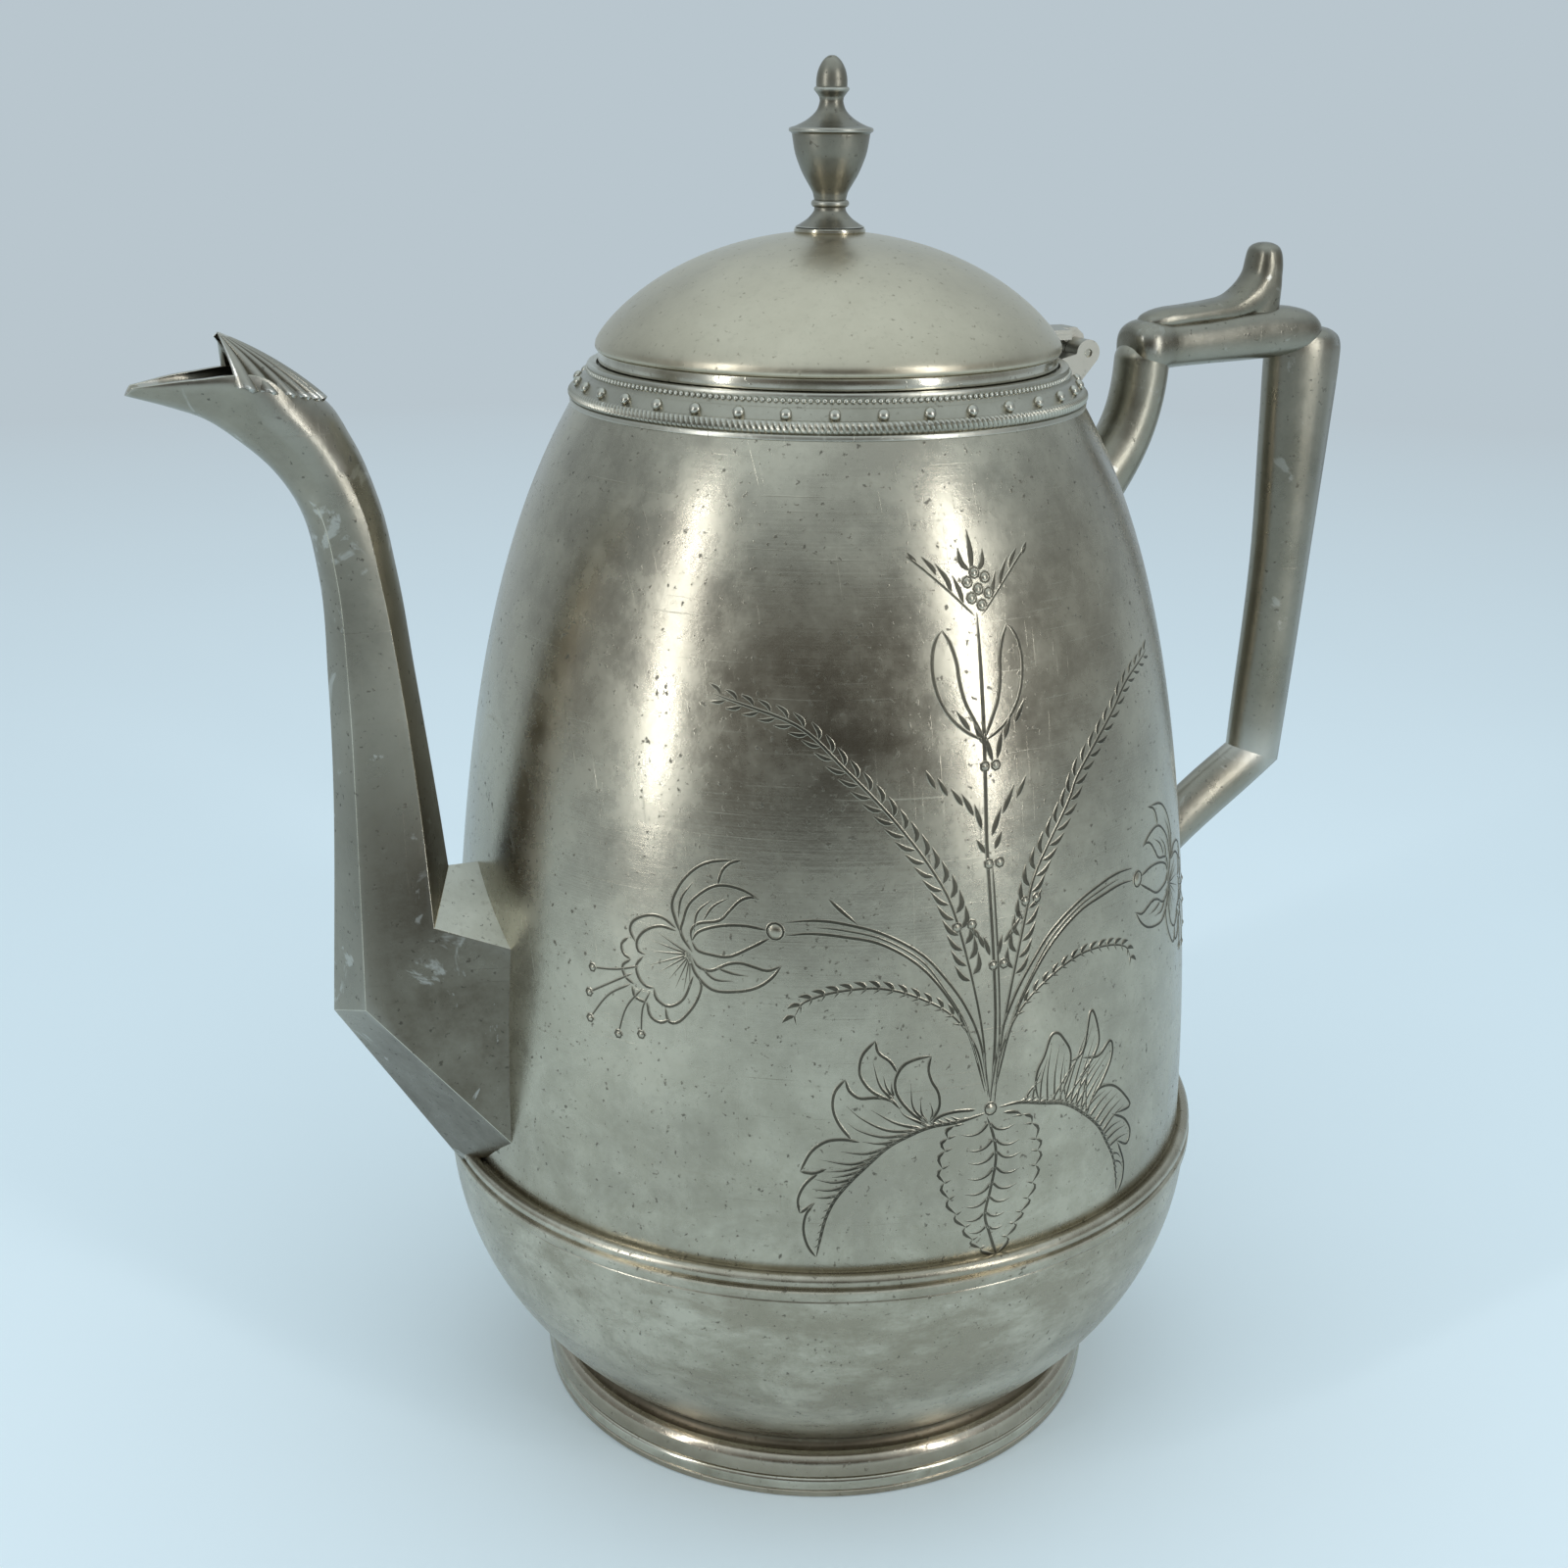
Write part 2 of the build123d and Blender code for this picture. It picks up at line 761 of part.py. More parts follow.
neck_sections = [
    (*neck_foot_section, 0.02),
    ((6.8, 168.0), (23.4, 168.0), ((0.28, 8.0), (0.86, 7.2)), 0.03),
    ((9.2, 188.0), (23.7, 188.0), ((0.33, 7.3), (0.86, 6.3)), 0.06),
    ((11.9, 202.0), (26.1, 200.6), ((0.33, 6.9), (0.84, 5.8)), 0.11),
    ((16.2, 213.4), (31.2, 209.0), ((0.33, 6.9), (0.8, 5.2)), 0.15),
    ((21.8, 221.4), (37.6, 215.0), ((0.28, 7.2), (0.78, 5.2)), 0.17),
]
lip_sections = [
    ((31.5, 226.0), (41.6, 217.9), ((0.05, 7.4), (0.72, 5.0)), 0.15),
    ((43.4, 225.8), (48.0, 220.5), ((0.03, 6.2), (0.65, 4.2)), 0.13),
    ((53.6, 224.3), (55.0, 222.7), ((0.03, 2.4), (0.6, 1.5)), 0.1),
]


def spout_base(inset=0.0):
    """The faceted box at the root, its elbow and the foot of the neck."""
    stations = [root_section, elbow_section, neck_foot_section]
    return loft([spout_section(*station, inset=inset) for station in stations], ruled=True)


def spout_solid():
    """The spout's outer form, filled."""
    neck = [spout_section(*station) for station in neck_sections]
    lip = [neck[-1]] + [spout_section(*station) for station in lip_sections]
    return spout_base() + loft(neck) + loft(lip)


def spout_bore():
    """The inside of the spout, open at its root and along the lip."""
    neck = [spout_section(*station, inset=spout_wall) for station in neck_sections]
    lip = [neck[-1]]
    for station in lip_sections[:-1]:
        lip.append(spout_section(*station, inset=spout_wall, lift=spout_wall))
    back, front, creases, swell = lip_sections[-1]
    back = (back[0] - spout_tip_lip, back[1])
    front = (front[0] - spout_tip_lip, front[1] + spout_wall / 2)
    thin = spout_wall / 3
    lip.append(spout_section(back, front, creases, swell, inset=thin, lift=spout_wall))
    return spout_base(spout_wall) + loft(neck) + loft(lip)


def make_spout_halves(solid, body, bowl):
    """The spout is cast as two halves, soldered along its ridge and its keel."""
    spout = solid - spout_bore() - body - bowl
    halves = []
    for side in (1, -1):
        corner = Vector(0, side * spout_block / 2, spout_block / 2)
        block = Pos(corner) * Box(2 * spout_block, spout_block, 2 * spout_block)
        halves.append((spout & block).solids().sort_by(SortBy.VOLUME)[-1])
    return halves


def hood_plane(reach):
    """A plane across the hood, at a share of the way from its peak down to its foot."""
    peak = Vector(-body_low_radius - hood_peak_reach, 0, hood_peak_height)
    centre = Vector(-body_low_radius - hood_foot_reach, 0, hood_foot_height)
    slope = radians(hood_slope)
    return Plane(
        origin=peak + (centre - peak) * reach,
        x_dir=(cos(slope), 0, -sin(slope)),
        z_dir=(sin(slope), 0, cos(slope)),
    )


def hood_section(reach):
    """Half an ellipse of lobes, open side to the front."""
    def rib_point(turn, drop):
        point = Vector(hood_length * cos(turn), hood_half_width * sin(turn))
        return (point - point.normalized() * drop) * reach

    edges = [pi * (number / hood_rib_count - 0.5) for number in range(hood_rib_count + 1)]
    valleys = [rib_point(turn, hood_flute_depth) for turn in edges]
    crests = [rib_point((first + last) / 2, 0) for first, last in zip(edges, edges[1:])]
    lobes = [ThreePointArc(*points) for points in zip(valleys, crests, valleys[1:])]
    front = Line(valleys[-1], valleys[0])
    return hood_plane(reach) * make_face(Curve() + lobes + [front])


def hood_hollow(reach):
    """The hollow is a smooth cone, let down below the lobes by the wall."""
    place = Pos(0, 0, -hood_wall) * hood_plane(reach)
    return place * Ellipse(hood_length * reach, (hood_half_width - hood_flute_depth) * reach)


def make_spout_crest(solid):
    """A half cone of lobes that fan from its peak, over the back of the mouth."""
    shell = loft([hood_section(hood_foot_share), hood_section(hood_peak_share)], ruled=True)
    trimmed = shell - loft([hood_hollow(1.3), hood_hollow(hood_peak_share)]) - solid
    return trimmed.solids().sort_by(SortBy.VOLUME)[-1]


def write(name, shape):
    export_step(shape, f"parts/{name}.step")


def main():
    os.makedirs("parts", exist_ok=True)
    body = body_core()
    bowl = bowl_core()
    collar = collar_core()
    write("body_shell", make_body_shell())
    write("lower_bowl", make_lower_bowl())
    write("bowl_rim", make_bowl_rim())
    write("foot_ring", make_foot_ring())
    write("collar_band", make_collar_band())
    write("lid_seat_ring", make_lid_seat_ring())
    dome = make_lid_dome()
    write("lid_dome", dome)
    write("lid_bezel", make_lid_bezel())
    write("finial_plate", make_finial_plate())
    write("finial", make_finial())
    write("finial_nut", make_finial_nut(dome))
    write("hinge_lid_leaf", make_hinge_lid_leaf())
    write("hinge_body_bracket", make_hinge_body_bracket(collar))
    write("hinge_pin", make_hinge_pin())
    shank = make_handle_shank(body, collar)
    post = make_handle_post()
    bar_blank = make_bar_blank()
    write("handle_shank", shank)
    write("handle_post", post)
    write("handle_top_bar", bar_blank - shank - post)
    write("handle_thumb_rest", make_thumb_rest(bar_blank))
    write("handle_lower_strut", make_handle_lower_strut(body))
    solid = spout_solid()
    right_half, left_half = make_spout_halves(solid, body, bowl)
    write("spout_half_right", right_half)
    write("spout_half_left", left_half)
    write("spout_crest", make_spout_crest(solid))


main()
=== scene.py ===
from math import atan2, cos, hypot, pi, radians, sin, sqrt

import bmesh
import bpy
import numpy as np
from mathutils import Matrix, Vector


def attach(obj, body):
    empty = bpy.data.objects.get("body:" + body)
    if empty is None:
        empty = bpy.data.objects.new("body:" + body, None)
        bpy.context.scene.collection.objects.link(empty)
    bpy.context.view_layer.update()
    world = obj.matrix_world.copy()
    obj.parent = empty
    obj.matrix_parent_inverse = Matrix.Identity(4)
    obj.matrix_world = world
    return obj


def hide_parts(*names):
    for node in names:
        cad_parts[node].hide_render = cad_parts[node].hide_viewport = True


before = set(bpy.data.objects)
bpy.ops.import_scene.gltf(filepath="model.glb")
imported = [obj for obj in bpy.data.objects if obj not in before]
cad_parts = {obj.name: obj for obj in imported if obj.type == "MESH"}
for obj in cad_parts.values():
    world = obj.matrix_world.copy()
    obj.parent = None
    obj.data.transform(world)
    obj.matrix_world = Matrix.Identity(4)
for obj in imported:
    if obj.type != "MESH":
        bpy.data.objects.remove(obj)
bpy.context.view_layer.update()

MM = 0.001


# Camera: where the photograph was taken from
CAMERA_PLACE = Vector((-170.0, -364.5, 272.4)) * MM
CAMERA_FORWARD = Vector((0.3825, 0.8648, -0.3252))
CAMERA_ROLL = radians(0.45)
CAMERA_FIELD = radians(42.85)


def make_camera():
    data = bpy.data.cameras.new("camera")
    data.sensor_fit = "HORIZONTAL"
    data.angle = CAMERA_FIELD
    data.clip_start = 0.01
    camera = bpy.data.objects.new("camera", data)
    turn = CAMERA_FORWARD.to_track_quat("-Z", "Y").to_matrix().to_4x4()
    camera.matrix_world = Matrix.Translation(CAMERA_PLACE) @ turn @ Matrix.Rotation(CAMERA_ROLL, 4, "Z")
    bpy.context.scene.collection.objects.link(camera)
    bpy.context.scene.camera = camera


# Node trees
class Nodes:
    """Short names for the nodes that the materials are made of."""

    def __init__(self, tree):
        self.tree = tree

    def add(self, kind, inputs=None, **settings):
        node = self.tree.nodes.new("ShaderNode" + kind)
        for name, value in settings.items():
            setattr(node, name, value)
        for name, value in (inputs or {}).items():
            self.put(node.inputs[name], value)
        return node

    def put(self, socket, value):
        if isinstance(value, bpy.types.NodeSocket):
            self.tree.links.new(value, socket)
        else:
            socket.default_value = value

    def place(self, scale=(1, 1, 1), turn=(0, 0, 0)):
        where = self.add("TexCoord").outputs["Object"]
        return self.add("Mapping", {"Vector": where, "Scale": scale, "Rotation": turn}).outputs[0]

    def noise(self, scale, detail=4.0, where=None, rough=0.55, bend=0.0):
        if where is None:
            where = self.place()
        given = {"Vector": where, "Scale": scale, "Detail": detail, "Roughness": rough, "Distortion": bend}
        return self.add("TexNoise", given).outputs["Fac"]

    def span(self, value, low, high, to_low=0.0, to_high=1.0):
        given = {"Value": value, "From Min": low, "From Max": high, "To Min": to_low, "To Max": to_high}
        return self.add("MapRange", given).outputs["Result"]

    def sums(self, kind, first, second=0.0):
        node = self.add("Math", operation=kind)
        self.put(node.inputs[0], first)
        self.put(node.inputs[1], second)
        return node.outputs[0]

    def times(self, first, second):
        return self.sums("MULTIPLY", first, second)

    def plus(self, first, second):
        return self.sums("ADD", first, second)

    def blend(self, share, first, second):
        node = self.add("MixRGB")
        self.put(node.inputs[0], share)
        self.put(node.inputs[1], first if isinstance(first, bpy.types.NodeSocket) else (*first, 1))
        self.put(node.inputs[2], second if isinstance(second, bpy.types.NodeSocket) else (*second, 1))
        return node.outputs[0]

    def bump(self, height, strength, distance, after=None):
        given = {"Height": height, "Strength": strength, "Distance": distance}
        node = self.add("Bump", given)
        if after is not None:
            self.put(node.inputs["Normal"], after)
        return node.outputs["Normal"]

    def axis(self, name):
        where = self.add("TexCoord").outputs["Object"]
        return self.add("SeparateXYZ", {"Vector": where}).outputs[name]


def new_material(name):
    material = bpy.data.materials.new(name)
    material.use_nodes = True
    material.node_tree.nodes.clear()
    nodes = Nodes(material.node_tree)
    output = nodes.add("OutputMaterial")
    shader = nodes.add("BsdfPrincipled")
    nodes.put(output.inputs[0], shader.outputs[0])
    return material, nodes, shader


# Painted shade at the spout's root, in patches: metres along X from none to full, and along Z from full to
# none
ROOT_SHADE_ACROSS, ROOT_SHADE_UP = (-0.104, -0.097), (0.128, 0.172)
ROOT_SHADE_COLOUR = (0.105, 0.088, 0.062)

# Sizes of the noise in the metal, in waves per metre
CLOUDS, BLOTCHES, GRAIN, SPECKS = 24, 95, 620, 850


def aged_metal(name, bright, dark, worn_and_sheen, rough, mottle=0.5, tarnish=(0, 0), lines=0.0, wear=0.0, pits=0.6,
               tarnish_tint=(0.3, 0.27, 0.2), spread=0.13, streak=1.0, root_shade=False):
    """Old pewter: clouds of two tones, speckle, pits, scratches, turned lines, and edges brightened partly as
    rubbed wear and partly as a painted highlight.

    tarnish is (height in metres where it is full, height where it ends).
    """
    material, nodes, shader = new_material(name)
    shader.inputs["Metallic"].default_value = 1.0
    flow = nodes.place((1, 1, streak))
    clouds = nodes.noise(CLOUDS, 6, flow, bend=0.4)
    blotches = nodes.noise(BLOTCHES, 7, flow, rough=0.7)
    grain = nodes.noise(GRAIN, 5, rough=0.65)
    specks = nodes.noise(SPECKS, 3)
    share = nodes.plus(nodes.times(clouds, 0.55), nodes.times(blotches, 0.45))
    share = nodes.span(share, 0.5 - spread, 0.5 + spread)
    colour = nodes.blend(share, dark, bright)
    fleck = nodes.span(grain, 0.56, 0.74)
    colour = nodes.blend(nodes.times(fleck, 0.45 * mottle), colour, tarnish_tint)
    if tarnish[1] != tarnish[0]:
        low = nodes.span(nodes.axis("Z"), tarnish[0], tarnish[1], 1.0, 0.0)
        patch = nodes.span(nodes.noise(55, 8, rough=0.75, bend=0.6), 0.44, 0.62)
        amount = nodes.times(nodes.times(low, patch), 0.6)
        colour = nodes.blend(amount, colour, tarnish_tint)
    # Painted shade: near the body and low down, the spout's root is darkened in patches, standing in for the
    # shade on its sides.
    if root_shade:
        side = nodes.span(nodes.axis("X"), *ROOT_SHADE_ACROSS)
        low = nodes.span(nodes.axis("Z"), *ROOT_SHADE_UP, 1.0, 0.0)
        amount = nodes.times(nodes.times(side, low), nodes.span(blotches, 0.3, 0.65, 0.35, 0.85))
        colour = nodes.blend(amount, colour, ROOT_SHADE_COLOUR)
    hole = nodes.span(specks, 0.645, 0.71)
    colour = nodes.blend(nodes.times(hole, pits), colour, tuple(0.35 * part for part in dark))
    if wear > 0:
        # Painted edge highlight, partly rubbed wear: convex edges found by pointiness are brightened towards
        # the worn colour, and noise adds rubbed patches.
        pointed = nodes.add("NewGeometry").outputs["Pointiness"]
        edge = nodes.span(pointed, 0.51, 0.56)
        rubbed = nodes.span(nodes.noise(85, 5, rough=0.6, bend=1.0), 0.61, 0.65)
        rubbed_and_highlit = nodes.sums("MAXIMUM", nodes.times(edge, 0.8), nodes.times(rubbed, wear))
        colour = nodes.blend(rubbed_and_highlit, colour, worn_and_sheen)
    nodes.put(shader.inputs["Base Color"], colour)
    scratch_a = nodes.noise(1.0, 2, nodes.place((30, 40, 2600), (0.3, 0.5, 0)))
    scratch_b = nodes.noise(1.0, 2, nodes.place((2400, 36, 45), (0, 0.4, 0.8)))
    scratch = nodes.sums("MAXIMUM", nodes.span(scratch_a, 0.68, 0.78), nodes.span(scratch_b, 0.69, 0.79))
    gloss = nodes.plus(nodes.span(blotches, 0.3, 0.7, rough - 0.06, rough + 0.08),
                       nodes.times(scratch, 0.1))
    nodes.put(shader.inputs["Roughness"], nodes.plus(gloss, nodes.times(hole, 0.2)))
    normal = nodes.bump(nodes.noise(130, 3), 0.04, 0.0005)
    normal = nodes.bump(grain, 0.16 + 0.12 * mottle, 0.00012, normal)
    normal = nodes.bump(nodes.plus(hole, scratch), 0.25, 0.00008, normal)
    if lines > 0:
        turned = nodes.noise(1.0, 3, nodes.place((6, 6, 1900)))
        normal = nodes.bump(turned, lines, 0.0001, normal)
    nodes.put(shader.inputs["Normal"], normal)
    return material


def polished_metal(name, tint, dull, rough):
    """Rubbed-up trim: cleaner than the rest, with faint cloudy tarnish and fine wiping marks."""
    material, nodes, shader = new_material(name)
    shader.inputs["Metallic"].default_value = 1.0
    clouds = nodes.noise(60, 6, rough=0.65, bend=0.5)
    specks = nodes.noise(1300, 3)
    hole = nodes.span(specks, 0.645, 0.71)
    colour = nodes.blend(nodes.span(clouds, 0.42, 0.68), tint, dull)
    colour = nodes.blend(nodes.times(hole, 0.5), colour, tuple(0.3 * part for part in dull))
    nodes.put(shader.inputs["Base Color"], colour)
    wipes = nodes.noise(1.0, 3, nodes.place((8, 8, 2200)))
    nodes.put(shader.inputs["Roughness"], nodes.span(clouds, 0.3, 0.7, rough, rough + 0.12))
    normal = nodes.bump(wipes, 0.08, 0.0001)
    normal = nodes.bump(nodes.noise(160, 3), 0.08, 0.0004, normal)
    nodes.put(shader.inputs["Normal"], nodes.bump(hole, 0.2, 0.00006, normal))
    return material


def make_materials():
    """The finishes of the pot, from its bright trim to the black in its cut lines."""
    warm = (0.30, 0.25, 0.17)
    return {
        "body": aged_metal(
            "body_pewter", (0.50, 0.462, 0.365), (0.35, 0.318, 0.25), warm, 0.26, mottle=0.7,
            tarnish=(0.06, 0.15), lines=0.14, pits=0.8, spread=0.085),
        "bowl": aged_metal(
            "bowl_pewter", (0.56, 0.52, 0.42), (0.36, 0.32, 0.245), warm, 0.28, mottle=0.9,
            tarnish=(0.06, 0.08), lines=0.2, pits=0.75, spread=0.075, streak=2.4),
        "foot": aged_metal(
            "foot_pewter", (0.50, 0.445, 0.355), (0.34, 0.295, 0.225), warm, 0.2, mottle=0.7, lines=0.2,
            pits=0.5),
        # Painted shade: a near-black finish for the cove under the bowl, standing in for the shade and dark
        # reflection in that hollow.
        "cove": aged_metal(
            "cove_painted_shade", (0.20, 0.165, 0.115), (0.10, 0.08, 0.055), warm, 0.4, mottle=0.8, pits=0.4),
        "lid": aged_metal(
            "lid_pewter", (0.582, 0.524, 0.401), (0.468, 0.416, 0.31), warm, 0.33, mottle=0.5, lines=0.16,
            pits=0.4),
        "cast": aged_metal(
            "cast_pewter", (0.35, 0.325, 0.262), (0.235, 0.215, 0.17), (0.62, 0.61, 0.56), 0.3, mottle=0.8,
            wear=0.45, pits=0.7, root_shade=True),
        # Bright finish for the spout's bevelled edges: partly rubbed wear, partly a painted highlight along
        # the creases.
        "edge": aged_metal(
            "worn_edge_and_highlight", (0.62, 0.59, 0.49), (0.36, 0.335, 0.26), (0.66, 0.64, 0.56), 0.26, mottle=1.0,
            pits=0.5),
        "pale_cast": aged_metal(
            "pale_cast_pewter", (0.72, 0.71, 0.62), (0.48, 0.47, 0.395), (0.75, 0.73, 0.65), 0.42,
            mottle=1.0, pits=0.6),
        "handle": aged_metal(
            "handle_pewter", (0.285, 0.265, 0.21), (0.175, 0.16, 0.12), (0.50, 0.485, 0.43), 0.3,
            mottle=0.8, wear=0.4, pits=0.6),
        "collar": aged_metal(
            "collar_pewter", (0.43, 0.405, 0.33), (0.28, 0.26, 0.205), (0.58, 0.56, 0.48), 0.32,
            mottle=0.6, wear=0.1, pits=0.3),
        "finial": aged_metal(
            "finial_pewter", (0.31, 0.29, 0.235), (0.20, 0.185, 0.145), (0.55, 0.53, 0.46), 0.36,
            mottle=0.6, wear=0.1, pits=0.5),
        "trim": polished_metal("bright_trim", (0.58, 0.545, 0.45), (0.36, 0.33, 0.255), 0.12),
        # Dark finish for the middle of each cut line: partly tarnish in the cut, partly painted shade, since
        # the cut lies on the skin and is not sunk into it.
        "groove": aged_metal(
            "groove_tarnish_and_shade", (0.15, 0.137, 0.105), (0.06, 0.055, 0.042), warm, 0.5, mottle=0.8, pits=0.2),
        "burr": aged_metal(
            "cut_edge", (0.50, 0.46, 0.36), (0.38, 0.345, 0.27), warm, 0.3, mottle=0.7, pits=0.3),
        "hinge": aged_metal(
            "hinge_pewter", (0.22, 0.205, 0.165), (0.14, 0.128, 0.1), (0.45, 0.43, 0.37), 0.42, mottle=0.8,
            wear=0.2, pits=0.6),
        "shank": aged_metal(
            "shank_pewter", (0.40, 0.375, 0.30), (0.26, 0.24, 0.185), (0.50, 0.485, 0.43), 0.32,
            mottle=0.7, wear=0.3, pits=0.5),
        "inside": aged_metal(
            "inner_pewter", (0.40, 0.38, 0.31), (0.25, 0.235, 0.19), warm, 0.42, mottle=1.0, lines=0.3,
            pits=0.8),
    }


# Pieces
def turned(reach, angle, height):
    """A point round the pot's axis, from millimetres to metres."""
    return Vector((reach * cos(angle), reach * sin(angle), height)) * MM


def made_mesh(builder, name, settle=True):
    if settle:
        bmesh.ops.recalc_face_normals(builder, faces=builder.faces)
    mesh = bpy.data.meshes.new(name)
    builder.to_mesh(mesh)
    builder.free()
    return mesh


def close_rings(builder, rows, left_out=None):
    """Faces between rings of points, apart from those that left_out(row, number) names."""
    for row, (low, high) in enumerate(zip(rows, rows[1:])):
        for number in range(len(low)):
            if left_out and left_out(row, number):
                continue
            after = (number + 1) % len(low)
            builder.faces.new((low[number], low[after], high[after], high[number]))


def hermite(start, end, leave, arrive, t):
    """The place at share t of a curve between two places with the given slopes."""
    return ((2 * t**3 - 3 * t**2 + 1) * start + (t**3 - 2 * t**2 + t) * leave
            + (3 * t**2 - 2 * t**3) * end + (t**3 - t**2) * arrive)


def link(name, mesh, material, body, smooth=30.0):
    piece = bpy.data.objects.new(name, mesh)
    bpy.context.scene.collection.objects.link(piece)
    for entry in material if isinstance(material, list) else [material]:
        mesh.materials.append(entry)
    mesh.polygons.foreach_set("use_smooth", [True] * len(mesh.polygons))
    if smooth < 180:
        mesh.set_sharp_from_angle(angle=radians(smooth))
    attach(piece, body)
    return piece


def softened(outline, radius, steps=4):
    """Replace each corner of a closed outline by a small curve of about the radius."""
    points = []
    count = len(outline)
    for number, corner in enumerate(outline):
        corner = Vector(corner)
        back = Vector(outline[number - 1]) - corner
        ahead = Vector(outline[(number + 1) % count]) - corner
        bend = back.angle(ahead, pi)
        if corner.x < 0.01 or bend > radians(165):
            points.append(corner)
            continue
        reach = min(radius, 0.45 * back.length, 0.45 * ahead.length)
        start = corner + back.normalized() * reach
        end = corner + ahead.normalized() * reach
        for step in range(steps + 1):
            share = step / steps
            points.append(start * (1 - share) ** 2 + corner * 2 * share * (1 - share) + end * share**2)
    return [(point.x, point.y) for point in points]


def arc_points(start, through, end, steps=10):
    """Points on the circle through three points, from the first to the last."""
    (ax, ay), (bx, by), (cx, cy) = start, through, end
    turn = 2 * (ax * (by - cy) + bx * (cy - ay) + cx * (ay - by))
    first, second, third = ax * ax + ay * ay, bx * bx + by * by, cx * cx + cy * cy
    x = (first * (by - cy) + second * (cy - ay) + third * (ay - by)) / turn
    y = (first * (cx - bx) + second * (ax - cx) + third * (bx - ax)) / turn
    radius = hypot(ax - x, ay - y)
    a0 = atan2(ay - y, ax - x)
    a1 = atan2(by - y, bx - x)
    a2 = atan2(cy - y, cx - x)
    whole = 2 * pi
    sweep = (a2 - a0) % whole
    if (a1 - a0) % whole > sweep:
        sweep -= whole
    return [(x + radius * cos(a0 + sweep * k / steps), y + radius * sin(a0 + sweep * k / steps))
            for k in range(steps + 1)]


def flowing(points, steps=6):
    """A smooth curve through the points."""
    spots = [Vector(point) for point in points]
    spots = [2 * spots[0] - spots[1], *spots, 2 * spots[-1] - spots[-2]]
    curve = []
    for k in range(1, len(spots) - 2):
        a, b, c, d = spots[k - 1 : k + 3]
        for step in range(steps):
            t = step / steps
            curve.append(0.5 * (2 * b + (c - a) * t + (2 * a - 5 * b + 4 * c - d) * t * t
                                + (3 * b - a - 3 * c + d) * t**3))
    curve.append(spots[-2])
    return [tuple(spot) for spot in curve]


def lathe(name, outline, material, body, segments=288, smooth=30.0, wave=None):
    """Turn a closed outline of (radius, height) in millimetres about the pot's axis."""
    rings = []
    mesh_builder = bmesh.new()
    for radius, height in outline:
        if radius < 0.005:
            rings.append([mesh_builder.verts.new((0, 0, height * MM))] * segments)
            continue
        ring = []
        for number in range(segments):
            angle = 2 * pi * number / segments
            reach = radius + (wave(angle, radius, height) if wave else 0)
            ring.append(mesh_builder.verts.new(turned(reach, angle, height)))
        rings.append(ring)
    count = len(rings)
    for k in range(count):
        low, high = rings[k], rings[(k + 1) % count]
        if outline[k][0] < 0.005 and outline[(k + 1) % count][0] < 0.005:
            continue
        for number in range(segments):
            after = (number + 1) % segments
            unique = list(dict.fromkeys((low[number], low[after], high[after], high[number])))
            if len(unique) > 2:
                mesh_builder.faces.new(unique)
    return link(name, made_mesh(mesh_builder, name), material, body, smooth)


# The pot's own measures, as in its source
BODY_LOW, BODY_TOP = 59.0, 215.5
BODY_LOW_RADIUS, BODY_TOP_RADIUS = 79.1, 50.8
EARLY_CURVE = 0.68
RIM_LOW = 60.3
BOWL_RADIUS, BOWL_DEPTH, BOWL_FLOOR = 81.2, 69.0, 9.2
SKIN = 0.05


def body_radius(height):
    share = (height - BODY_LOW) / (BODY_TOP - BODY_LOW)
    taper = EARLY_CURVE * share**2 + (1 - EARLY_CURVE) * share**6
    return BODY_LOW_RADIUS - (BODY_LOW_RADIUS - BODY_TOP_RADIUS) * taper


def bowl_radius(height, inset=0.0):
    sunk = (RIM_LOW - height) / (BOWL_DEPTH - inset)
    return (BOWL_RADIUS - inset) * sqrt(max(0.0, 1 - sunk**2))


def make_body_skin(materials):
    """The spun body's outer face, fine enough to carry clean reflections."""
    rows, segments = 160, 360
    window_half, window_low, window_high = 14.5, 70.0, 118.0
    low = RIM_LOW + 0.2
    builder = bmesh.new()
    grid = []
    for row in range(rows + 1):
        height = low + (BODY_TOP - low) * row / rows
        reach = body_radius(height) + SKIN
        grid.append([builder.verts.new(turned(reach, 2 * pi * number / segments, height))
                     for number in range(segments)])

    def behind_spout(row, number):
        height = low + (BODY_TOP - low) * (row + 0.5) / rows
        angle = 2 * pi * (number + 0.5) / segments
        aside = abs(body_radius(height) * sin(angle))
        return cos(angle) < 0 and aside < window_half and window_low < height < window_high

    close_rings(builder, grid, behind_spout)
    mesh = made_mesh(builder, "body_skin")
    if mesh.polygons[0].normal.xy.dot(mesh.polygons[0].center.xy) < 0:
        mesh.flip_normals()
    link("body_skin", mesh, materials["body"], "pot", smooth=180)


